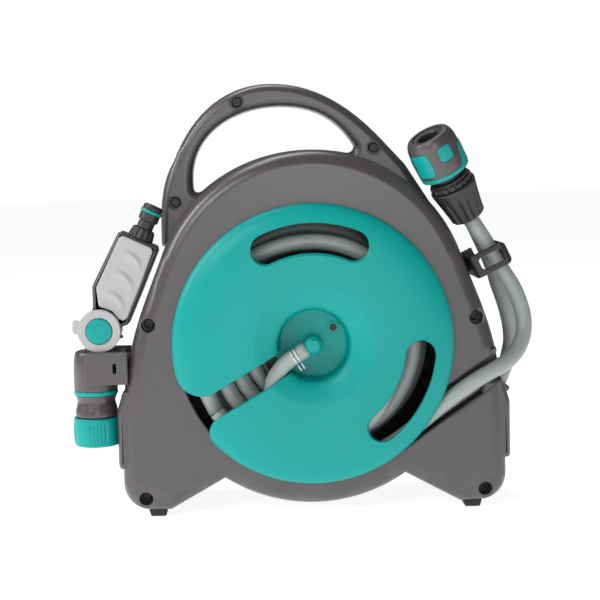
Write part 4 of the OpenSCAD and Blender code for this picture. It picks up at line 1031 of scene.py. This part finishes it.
mouth = slab([(14, -CLIP_W), (22, -CLIP_W), (22, CLIP_W), (14, CLIP_W)],
             [(CLIP_REAR - 5, 0), (CLIP_REAR + 2, 0.6)])
for cutter in (eye, mouth):
    cutter.data.transform(CLIP_PLACE)
corners = slab(rounded([(-12, -CLIP_W / 2 - 2), (CLIP_REACH, -CLIP_W / 2), (CLIP_REACH, CLIP_W / 2),
                        (-12, CLIP_W / 2 + 2)], [0, 6, 6, 0]),
               [(CLIP_FRONT - 2, 0.05), (CLIP_REAR + 2, 0.05)])
corners.data.transform(CLIP_PLACE)
combine("INTERSECT", clip, corners)
combine("DIFFERENCE", clip, room, eye, mouth)
fit(finish(clip, "clip"), "housing", "black_plastic", BLACK, "hose_clip")


# ---------------------------------------------------------------------------
# Holster: two rounded cheeks on a web on the left flank, open to the side, so
# that the barrel of the spray gun clips in. One screw holds it.
# ---------------------------------------------------------------------------
GUN_Y, BARREL_R, BARREL_X = -28, 17.2, -HALF_W - 20.5
FLANK_X, CHEEK_T = 143.5, 3
CHEEK_Y = BARREL_R + 0.8
cheek = rounded([(BARREL_X - 6, 108), (-FLANK_X - 1.5, 108), (-FLANK_X - 1.5, 134), (BARREL_X - 6, 134)],
                [5, 1, 1, 5])
cheek_edges = edge_levels(GUN_Y - CHEEK_Y - CHEEK_T, GUN_Y - CHEEK_Y, 0.9, 0.3)
holster = slab(cheek, cheek_edges)
combine("UNION", holster,
        slab(cheek, [(2 * GUN_Y - y, grow) for y, grow in cheek_edges]),
        slab([(-FLANK_X - 8.5, 110), (-FLANK_X - 5.5, 110), (-FLANK_X - 5.5, 132), (-FLANK_X - 8.5, 132)],
             [(GUN_Y - CHEEK_Y - CHEEK_T, -0.4), (GUN_Y - CHEEK_Y - CHEEK_T + 0.4, 0),
              (GUN_Y + CHEEK_Y + CHEEK_T - 0.4, 0), (GUN_Y + CHEEK_Y + CHEEK_T, -0.4)]),
        slab([(-FLANK_X - 6.5, 112), (-FLANK_X + 4, 112), (-FLANK_X + 4, 130), (-FLANK_X - 6.5, 130)],
             [(GUN_Y - 8, 0), (GUN_Y + 8, 0)]))
keyhole = slab(rounded([(-156.6, 117), (-153.8, 117), (-153.8, 125), (-156.6, 125)], 1.3),
               flare_levels(GUN_Y - CHEEK_Y - CHEEK_T, GUN_Y - CHEEK_Y + 0.5, 0.4))
combine("DIFFERENCE", holster, keyhole,
        turned([(0, 100), (CHEEK_Y, 100), (CHEEK_Y, 140), (0, 140)],
               Matrix.Translation((BARREL_X, GUN_Y, 0)), 96),
        turned([(0, -20), (1.6, -20), (1.6, 8), (0, 8)],
               Matrix.Translation((-FLANK_X, GUN_Y, 121)) @ Matrix.Rotation(math.radians(90), 4, "Y"), 32))
fit(finish(holster, "gun_holster"), "housing", "housing", HOUSING, "holster")


# ---------------------------------------------------------------------------
# Spray gun handle: two dark half shells with a saw-toothed stop for the lever
# and, on the front, a soft pale pad with three thumb waves moulded into it.
# ---------------------------------------------------------------------------
def pad_skin():
    material, surface = begin("soft_grip", 0.5, Sheen_Weight=0.15, Subsurface_Weight=0.1,
                              Subsurface_Scale=0.002)
    where = on_object()
    cloud = noise(where, 45, 4)
    worn = steps(noise(where, 150, 5, 0.7), 0.6, 0.75)
    colour = blend(cloud, rgb(0.44, 0.44, 0.455), rgb(0.52, 0.52, 0.53))
    join(blend(0.3 * worn, colour, rgb(0.36, 0.355, 0.35)), surface, "Base Color")
    join(0.42 + 0.2 * cloud + 0.1 * worn, surface, "Roughness")
    raise_surface(surface, noise(where, 1000, 3, 0.6), 0.00009, 0.6)
    return material


PALE = pad_skin()
LEVER_R, GRIP_HALF, GRIP_TOP, GRIP_LOW = 16.8, 11, 78, 8
GUN = Matrix.Translation((BARREL_X + 6, 0, 150)) @ Matrix.Rotation(math.radians(25), 4, "Y")
GRIP_FRONT, GRIP_REAR = GUN_Y - GRIP_HALF, GUN_Y + GRIP_HALF
grip_outline = rounded([(-15, GRIP_TOP), (15, GRIP_TOP), (17, GRIP_TOP - 3), (18, 40), (18.5, GRIP_LOW + 5),
                        (13, GRIP_LOW), (2, -6), (-12, 2), (-12, 14), (-19, 29), (-19, 33),
                        (-17, GRIP_TOP - 2)],
                       [1.5, 1.5, 2, 20, 3, 6, 1, 1, 8, 5, 5, 1.5], 4)


def grip_half(face_y):
    seam = [(GUN_Y, -0.35), (GUN_Y + (0.4 if face_y > GUN_Y else -0.4), 0)]
    inner = face_y - math.copysign(2.2, face_y - GUN_Y)
    half = slab(grip_outline, seam + edge_levels(GUN_Y, face_y, 0, 2.6, 5)[1:])
    combine("UNION", half, slab(circle(0, 0, LEVER_R - 0.8, 64),
                                seam + edge_levels(GUN_Y, face_y, 0, 2.2, 4)[1:]))
    hollow = slab(grown(grip_outline, -2.2), [(2 * GUN_Y - face_y, 0), (inner, 0)])
    around_valve = slab(circle(0, 0, LEVER_R - 3, 48), [(2 * GUN_Y - face_y, 0), (inner, 0)])
    combine("DIFFERENCE", half, hollow, around_valve,
            turned([(0, GRIP_TOP - 6), (6.1, GRIP_TOP - 6), (6.1, GRIP_TOP + 5), (0, GRIP_TOP + 5)],
                   Matrix.Translation((0, GUN_Y, 0)), 48))
    return half


grip_front = grip_half(GRIP_FRONT)
combine("DIFFERENCE", grip_front, slab(circle(0, 0, 4.1, 32), [(GRIP_FRONT - 2, 0), (GUN_Y, 0)]))
grip_front.data.transform(GUN)
fit(finish(grip_front, "grip_front_half"), "spray_gun", "housing", HOUSING, "gun_front_shell")
grip_rear = grip_half(GRIP_REAR)
for degrees in range(-36, 13, 12):
    tooth = slab(rounded([(LEVER_R - 1.6, -1.5), (LEVER_R + 1.2, -0.8), (LEVER_R + 1.2, 0.8),
                          (LEVER_R - 1.6, 1.5)], 0.4),
                 edge_levels(GUN_Y + 1, GUN_Y + 7, 0.5, 0.5, 3))
    tooth.data.transform(Matrix.Rotation(math.radians(-degrees), 4, "Y"))
    combine("UNION", grip_rear, tooth)
for v in (24, 66):
    combine("DIFFERENCE", grip_rear, slab(circle(0, v, 3, 32), flare_levels(GRIP_REAR, GRIP_REAR - 3, 0.4)))
grip_rear.data.transform(GUN)
fit(finish(grip_rear, "grip_rear_half"), "spray_gun", "housing", HOUSING, "gun_rear_shell")
fasteners("grip_screw_set", screw_shape(2.8, 1.9, 1.35, 15, True, from_rear),
          [GUN @ Vector((0, GRIP_REAR - 1, v)) for v in (24, 66)], STEEL, "spray_gun", "steel", "gun_screws")

PAD_T = 2.4
pad_outline = rounded([(-14.5, 73), (-12.5, 75.5), (12, 75.5), (13.6, 73), (15, 45), (15.6, 18), (14, 14.4),
                       (10, 14.4), (3, 18.2), (-8, 17.2), (-15.6, 30)], [3, 3, 3, 3, 20, 3, 2, 2, 5, 3, 4], 4)
pad = slab(pad_outline, edge_levels(GRIP_FRONT - PAD_T, GRIP_FRONT + 0.3, 1.5, 0, 5))
work = bmesh.new()
work.from_mesh(pad.data)
for axis, start, stop in ((0, -15, 16), (2, 15, 76)):
    for cut in range(start, stop):
        normal = Vector((1, 0, 0)) if axis == 0 else Vector((0, 0, 1))
        bmesh.ops.bisect_plane(work, geom=work.verts[:] + work.edges[:] + work.faces[:],
                               plane_co=normal * cut, plane_no=normal)
for vertex in work.verts:
    u, y, v = vertex.co
    lift = max(0.0, min(1.0, (GRIP_FRONT - 1.2 - y) / 1.0))
    wave = 0.0
    for middle in (31, 48, 65):
        along = v - middle + 0.045 * (u + 3) ** 2 - 0.1 * u
        reach = max(0.0, 1 - ((u - 1) / 10.5) ** 2)
        wave += reach * math.exp(-(along / (1.6 if along > 0 else 4.2)) ** 2)
    vertex.co.y += lift * (0.75 - 1.0 * wave)
work.to_mesh(pad.data)
work.free()
pad.data.transform(GUN)
fit(finish(pad, "thumb_pad", 50), "spray_gun", "grip_plastic", PALE, "grip_pad")


# ---------------------------------------------------------------------------
# Flow lever: a flat pale ring with a finger tab that turns on the front of
# the handle, with a teal button snapped into its middle.
# ---------------------------------------------------------------------------
LEVER_BACK, LEVER_FRONT = GRIP_FRONT - 0.4, GRIP_FRONT - 6
lever = turned(softened([(0, LEVER_BACK), (LEVER_R, LEVER_BACK), (LEVER_R, LEVER_FRONT), (10.3, LEVER_FRONT),
                         (10.3, LEVER_FRONT + 2.5), (0, LEVER_FRONT + 2.5)], 1.1, 4), along_y(0, 0, 0), 120)
tab_turn = Matrix.Rotation(math.radians(-18), 4, "Y")
tab = slab(rounded([(-LEVER_R + 2, -5), (-LEVER_R - 1.5, -4.6), (-LEVER_R - 4.2, -2.5), (-LEVER_R - 4.2, 6.5),
                    (-LEVER_R - 1.5, 6.9), (-LEVER_R + 4, 5)], [0, 3, 2, 2, 2, 0]),
           edge_levels(GRIP_FRONT - 5.5, GRIP_FRONT - PAD_T - 0.4, 1, 0.5, 3))
tab.data.transform(tab_turn)
combine("UNION", lever, tab, turned([(0, LEVER_BACK - 1), (4, LEVER_BACK - 1), (4, GUN_Y - 7),
                                     (0, GUN_Y - 7)],
                                    along_y(0, 0, 0), 32))
lever.data.transform(GUN)
fit(finish(lever, "lever_ring"), "flow_lever", "grip_plastic", PALE, "flow_lever")
button = turned(softened([(0, -1.9), (10, -1.9), (10.05, 2.6), (9.2, 3.2), (5, 3.9), (0, 4.1)], 0.6, 3),
                Matrix.Translation((0, LEVER_FRONT + 2.4, 0)) @ Matrix.Rotation(math.radians(90), 4, "X"), 96)
button.data.transform(GUN)
fit(finish(button, "lever_button"), "flow_lever", "teal_plastic", TEAL, "lever_cap")


# ---------------------------------------------------------------------------
# Barrel and head: a dark turned barrel with a teal band and a narrow waist,
# and a teal head that turns on it to choose the jet. Its rim is knurled in
# groups, and its face is full of small raised nozzles.
# ---------------------------------------------------------------------------
barrel_place = Matrix.Translation((BARREL_X, GUN_Y, 0))
barrel = turned([(6, 71), (9.6, 71), (10, 71.4), (10, 80.6), (10.4, 81)]
                + spline([(15.4, 81), (16.5, 81.6), (16.8, 83.5), (16.3, 87), (15.3, 91), (15.0, 93.5),
                          (15.6, 96), (16.6, 97.8)], 4)
                + [(16.75, 98.2), (16.4, 98.5), (15.8, 98.5), (15.8, 102), (16.5, 102), (17.0, 102.3)]
                + spline([(17.2, 103), (17.2, 110), (17.15, 119), (16.6, 126), (15.6, 131), (14.4, 132.8)], 4)
                + [(13.8, 133), (8, 133), (8, 139), (6, 139)], barrel_place, 120)
saddle = slab(circle(BARREL_X + 6, 150, LEVER_R - 0.7, 72), [(GUN_Y - 30, 0), (GUN_Y + 30, 0)])
combine("DIFFERENCE", barrel, saddle)
fit(finish(barrel, "gun_barrel"), "spray_gun", "housing", HOUSING, "barrel")
band = turned(softened([(15.82, 98.6), (17.1, 98.6), (17.4, 100.2), (17.1, 101.9), (15.82, 101.9)], 0.4,
                       3, True),
              barrel_place, 96)
fit(finish(band, "barrel_trim"), "spray_gun", "teal_plastic", TEAL, "barrel_band")
HEAD_R, HEAD_LOW = BARREL_R + 1.6, 58


def knurl(angle, radius, z):
    """Four groups of grip ribs round the head, with smooth stretches between."""
    if radius < HEAD_R - 1.6:
        return radius
    group = steps_of(math.cos(4 * angle - 0.6), -0.25, 0.1)
    along = steps_of(z, 2.5, 5.5) * (1 - steps_of(z, 17.5, 20))
    return radius - 0.55 * group * along * (0.5 + 0.5 * math.cos(40 * angle))


def steps_of(value, low, high):
    t = max(0.0, min(1.0, (value - low) / (high - low)))
    return t * t * (3 - 2 * t)


head = turned([(HEAD_R - 3, 0.4), (HEAD_R - 2.6, 0)]
              + spline([(HEAD_R - 1.9, 0), (HEAD_R - 1.0, 0.5), (HEAD_R - 0.5, 1.6), (HEAD_R - 0.25, 4),
                        (HEAD_R, 9),
                        (HEAD_R, 14), (HEAD_R - 0.3, 18.5), (HEAD_R - 0.6, 21.4), (HEAD_R - 1.2, 22.4)], 5)
              + [(HEAD_R - 1.6, 22.6), (10.3, 22.6), (10.3, 19.6), (HEAD_R - 3, 19.6)],
              Matrix.Translation((BARREL_X, GUN_Y, HEAD_LOW)), 240, knurl)
fit(finish(head, "head_grip", 45), "spray_head", "teal_plastic", TEAL, "head_ring")
plate_place = Matrix.Translation((BARREL_X, GUN_Y, HEAD_LOW + 1))
plate = turned(softened([(0, 0.6), (5, 0.5), (14.6, 0), (15.7, 0.4), (15.7, 3), (0, 3)], 0.4, 2),
               plate_place, 80)
fit(finish(plate, "head_plate"), "spray_head", "black_plastic", BLACK, "spray_plate")
nozzle = turned(softened([(0.45, -0.5), (0.95, -0.5), (1.15, 0.8), (0.45, 0.8)], 0.15, 2, True), Matrix(), 14)
fasteners("head_nozzles", nozzle,
          [(BARREL_X + r * math.cos(2 * math.pi * k / count), GUN_Y + r * math.sin(2 * math.pi * k / count),
            HEAD_LOW + 1.1) for r, count in ((4, 6), (8, 12), (12, 18)) for k in range(count)],
          RUBBER, "spray_head", "rubber")

adapter = turned([(4, -4), (6, -4), (6, 0.1)] + [(9.6, 0.1), (10.1, 0.6), (9.9, 3), (9.2, 6.4), (8.7, 8),
                                                 (8.2, 8.5)]
                 + [(4, 8.5)], GUN @ Matrix.Translation((0, GUN_Y, GRIP_TOP)), 144,
                 lambda a, r, z: (r - 0.9 * (0.5 - 0.5 * math.cos(12 * a)) ** 2 * steps_of(z, 0.4, 2)
                                  if r > 8 else r))
fit(finish(adapter, "nipple_base", 40), "spray_gun", "black_plastic", BLACK, "hose_adapter")
nipple = turned(softened([(3.8, 0), (6.4, 0), (6.4, 5.6), (7.9, 7), (7.9, 12.6), (6.3, 12.6), (6.3, 15.4),
                          (7.9, 15.4), (7.9, 18), (6.6, 19.4), (3.8, 19.4)], 0.45, 3, True),
                GUN @ Matrix.Translation((0, GUN_Y, GRIP_TOP + 8.6)), 80)
fit(finish(nipple, "gun_spigot"), "spray_gun", "black_plastic", BLACK, "male_nipple")


# ---------------------------------------------------------------------------
# Quick connectors: one on the end of each hose. A fluted nut squeezes the
# hose on its tail, and a barrel with teal pads and a teal skirt slides back
# against a spring to let the fitting go.
# ---------------------------------------------------------------------------
NUT_L, NECK_L, SLEEVE_L, SLEEVE_R = 30, 8, 38, 20.5
SLEEVE_Z = NUT_L + NECK_L
NIPPLE_BORE = 8.1


def nut_flutes(angle, radius, z):
    if radius < 12.5 or z > NUT_L - 3:
        return radius
    deep = steps_of(z, -1, 2) * (1 - 0.85 * steps_of(z, 14, NUT_L - 4))
    return radius - 1.5 * deep * (0.5 - 0.5 * math.cos(12 * angle)) ** 3


def neck_notches(angle, radius, z):
    in_teeth = radius > 16.6 and NUT_L < z < NUT_L + 5
    return radius - 1.1 * steps_of(math.cos(18 * angle), 0.1, 0.5) if in_teeth else radius


def connector(prefix, place, spin):
    """Nut, body, barrel, pads and skirt of one connector; spin turns the pads round it."""
    turn = place @ Matrix.Rotation(math.radians(spin), 4, "Z")
    nut = turned([(6.8, 0.4), (7.2, 0)] + spline([(12.2, 0), (13.2, 0.3), (13.7, 1.4), (14.2, 5), (15.4, 12),
                                                  (16.9, 20), (18.1, 26), (18.5, 28.6)], 4)
                 + [(18.3, 29.6), (17.8, 30), (15.8, 30), (15.8, 22), (6.8, 22)], place, 216, nut_flutes)
    fit(finish(nut, prefix + "_hose_nut", 45), "housing", "black_plastic", BLACK, prefix + "_nut")
    body = turned(softened([(4.2, 2), (5.2, 2), (5.2, NUT_L - 6), (11, NUT_L - 4), (15.5, NUT_L + 0.3),
                            (17.2, NUT_L + 0.8), (17.2, NUT_L + 4.2), (15.2, NUT_L + 5), (15.6, SLEEVE_Z - 1),
                            (12.6, SLEEVE_Z), (12.6, SLEEVE_Z + SLEEVE_L - 1),
                            (11.8, SLEEVE_Z + SLEEVE_L - 1),
                            (9.4, SLEEVE_Z + SLEEVE_L - 1.4), (NIPPLE_BORE, SLEEVE_Z + SLEEVE_L - 2.6),
                            (NIPPLE_BORE, SLEEVE_Z + 8), (4.2, SLEEVE_Z + 6.4)], 0.35, 2, True),
                  place, 144, neck_notches)
    fit(finish(body, prefix + "_tail", 40), "housing", "black_plastic", BLACK, prefix + "_body")
    z0, z1 = SLEEVE_Z + 4.2, SLEEVE_Z + SLEEVE_L
    barrel_wall = turned([(12.75, z0 + 0.8), (15.6, z0 + 0.2), (SLEEVE_R - 1.6, z0)]
                         + spline([(SLEEVE_R - 0.9, z0 + 0.6), (SLEEVE_R - 0.6, z0 + 3),
                                   (SLEEVE_R - 0.5, z0 + 9),
                                   (SLEEVE_R - 0.6, z0 + 18), (SLEEVE_R - 1.0, z0 + 26),
                                   (SLEEVE_R - 2.0, z1 - 4),
                                   (SLEEVE_R - 3.4, z1 - 1.2), (SLEEVE_R - 4.6, z1 - 0.2)], 4)
                         + [(SLEEVE_R - 5.6, z1), (12.75, z1), (12.75, z1 - 1)], turn, 144)
    pads = []
    for at_angle, wide, low, high in ((0, 16.5, 10.5, 30.5), (65, 11.5, 18, 30.5), (180, 16.5, 10.5, 30.5),
                                      (245, 11.5, 18, 30.5)):
        around = (turn @ Matrix.Rotation(math.radians(at_angle), 4, "Z")
                  @ Matrix.Rotation(math.radians(90), 4, "Y"))
        outline = rounded([(-SLEEVE_Z - high, -wide / 2), (-SLEEVE_Z - low, -wide / 2),
                           (-SLEEVE_Z - low, wide / 2), (-SLEEVE_Z - high, wide / 2)], 3.2)
        seat = crosswise(outline, [(SLEEVE_R - 2.6, 0), (SLEEVE_R - 1.2, 0), (SLEEVE_R - 0.4, 0.4),
                                   (SLEEVE_R + 3, 0.4)], around)
        combine("DIFFERENCE", barrel_wall, seat)
        pad_block = crosswise(grown(outline, -0.25), [(SLEEVE_R - 2.55, 0), (SLEEVE_R + 2, 0)], around)
        bulge = turned([(0, z0)] + [(SLEEVE_R - 0.35, z0)]
                       + spline([(SLEEVE_R - 0.3, z0 + 5), (SLEEVE_R - 0.25, z0 + 10),
                                 (SLEEVE_R - 0.75, z0 + 15),
                                 (SLEEVE_R - 0.5, z0 + 19), (SLEEVE_R - 0.5, z0 + 24),
                                 (SLEEVE_R - 1.3, z1 - 4)], 4)
                       + [(0, z1 - 4)], turn, 144)
        combine("INTERSECT", pad_block, bulge)
        pads.append(pad_block)
    fit(finish(barrel_wall, prefix + "_barrel"), prefix + "_sleeve", "black_plastic", HOUSING,
        prefix + "_sleeve")
    combine("UNION", *pads)
    fit(finish(pads[0], prefix + "_barrel_pads", 40), prefix + "_sleeve", "teal_plastic", TEAL,
        prefix + "_pads")
    skirt = turned([(SLEEVE_R - 1.2, 0), (SLEEVE_R - 0.4, 0.1), (SLEEVE_R - 0.05, 0.7),
                    (SLEEVE_R - 0.05, 0.92), (SLEEVE_R - 0.3, 1), (SLEEVE_R - 1.2, 1)], Matrix(), 144)
    for vertex in skirt.data.vertices:
        a = math.atan2(vertex.co.y, vertex.co.x)
        tall = 3.4 + 17.5 * steps_of(math.cos(2 * (a - math.radians(122))), 0.35, 1.0) ** 1.3
        vertex.co.z = z0 + 0.35 + vertex.co.z * tall
    skirt.data.transform(turn)
    fit(finish(skirt, prefix + "_skirt", 50), prefix + "_sleeve", "teal_plastic", TEAL)


def connector_place(end, turn, lean):
    return (Matrix.Translation(end) @ Matrix.Rotation(math.radians(turn), 4, "Z")
            @ Matrix.Rotation(math.radians(lean), 4, "Y"))


connector("lead", connector_place((126.3, -25.4, 232.3), 212, 33), 8)
connector("supply", connector_place((132.5, 5.2, 230.9), 183, 27), 0)


# ---------------------------------------------------------------------------
# Hidden and small parts that keep their exact shapes: they take the finish
# that their material has on the rest of the reel.
# ---------------------------------------------------------------------------
FINISHES = {"housing": HOUSING, "black_plastic": BLACK, "teal_plastic": TEAL, "grip_plastic": ACETAL,
            "hose": HOSE, "steel": STEEL, "rubber": RUBBER}
for part in frame["record"]["subparts"]:
    node = frame["nodes"][part["node"]]
    node.data.materials.clear()
    node.data.materials.append(FINISHES[part["material_slot"]])
frame["nodes"]["nipple_seal"].data.materials[0] = TEAL

# ---------------------------------------------------------------------------
# Floor and light
# ---------------------------------------------------------------------------
def floor_paint():
    material, surface = begin("studio_floor", 0.75, Emission_Color=(1, 1, 1, 1), Emission_Strength=0.82)
    join(blend(noise(on_object(), 3, 3), rgb(0.83, 0.83, 0.83), rgb(0.86, 0.86, 0.86)), surface, "Base Color")
    return material


floor = closed_skin([[(r * math.cos(a), r * math.sin(a), z)
                      for a in (2 * math.pi * k / 64 for k in range(64))]
                     for r, z in ((14000, -20), (14000, 0))])
floor.name = "studio_floor_disc"
floor.data.transform(Matrix.Scale(MM, 4))
floor.data.materials.append(floor_paint())


def area_light(name, place, size, power, tint=(1, 1, 1)):
    lamp = bpy.data.lights.new(name, "AREA")
    lamp.shape, lamp.size, lamp.size_y = "RECTANGLE", size[0], size[1]
    lamp.energy, lamp.color = power, tint
    made = bpy.data.objects.new(name, lamp)
    bpy.context.scene.collection.objects.link(made)
    made.location = place
    aim = Vector((0, 0, 0.16)) - Vector(place)
    made.rotation_mode = "QUATERNION"
    made.rotation_quaternion = aim.to_track_quat("-Z", "Y")


area_light("key_softbox", (-0.85, -1.3, 1.0), (0.6, 0.6), 7.5)
area_light("side_strip", (-1.2, -0.25, 0.9), (0.25, 0.9), 9)
area_light("top_softbox", (-0.25, 0.3, 1.5), (1.1, 0.4), 8)
area_light("front_fill", (0.1, -1.7, 0.35), (0.5, 0.5), 2.5)
world = bpy.data.worlds.new("studio")
bpy.context.scene.world = world
world.use_nodes = True
wall = world.node_tree.nodes["Background"]
wall.inputs["Color"].default_value = (1, 1, 1, 1)
wall.inputs["Strength"].default_value = 0.16
seen_wall = world.node_tree.nodes.new("ShaderNodeBackground")
seen_wall.inputs["Color"].default_value = (1, 1, 1, 1)
seen_wall.inputs["Strength"].default_value = 1.0
choice = world.node_tree.nodes.new("ShaderNodeMixShader")
rays = world.node_tree.nodes.new("ShaderNodeLightPath")
world.node_tree.links.new(rays.outputs["Is Camera Ray"], choice.inputs[0])
world.node_tree.links.new(wall.outputs[0], choice.inputs[1])
world.node_tree.links.new(seen_wall.outputs[0], choice.inputs[2])
world.node_tree.links.new(choice.outputs[0], world.node_tree.nodes["World Output"].inputs["Surface"])
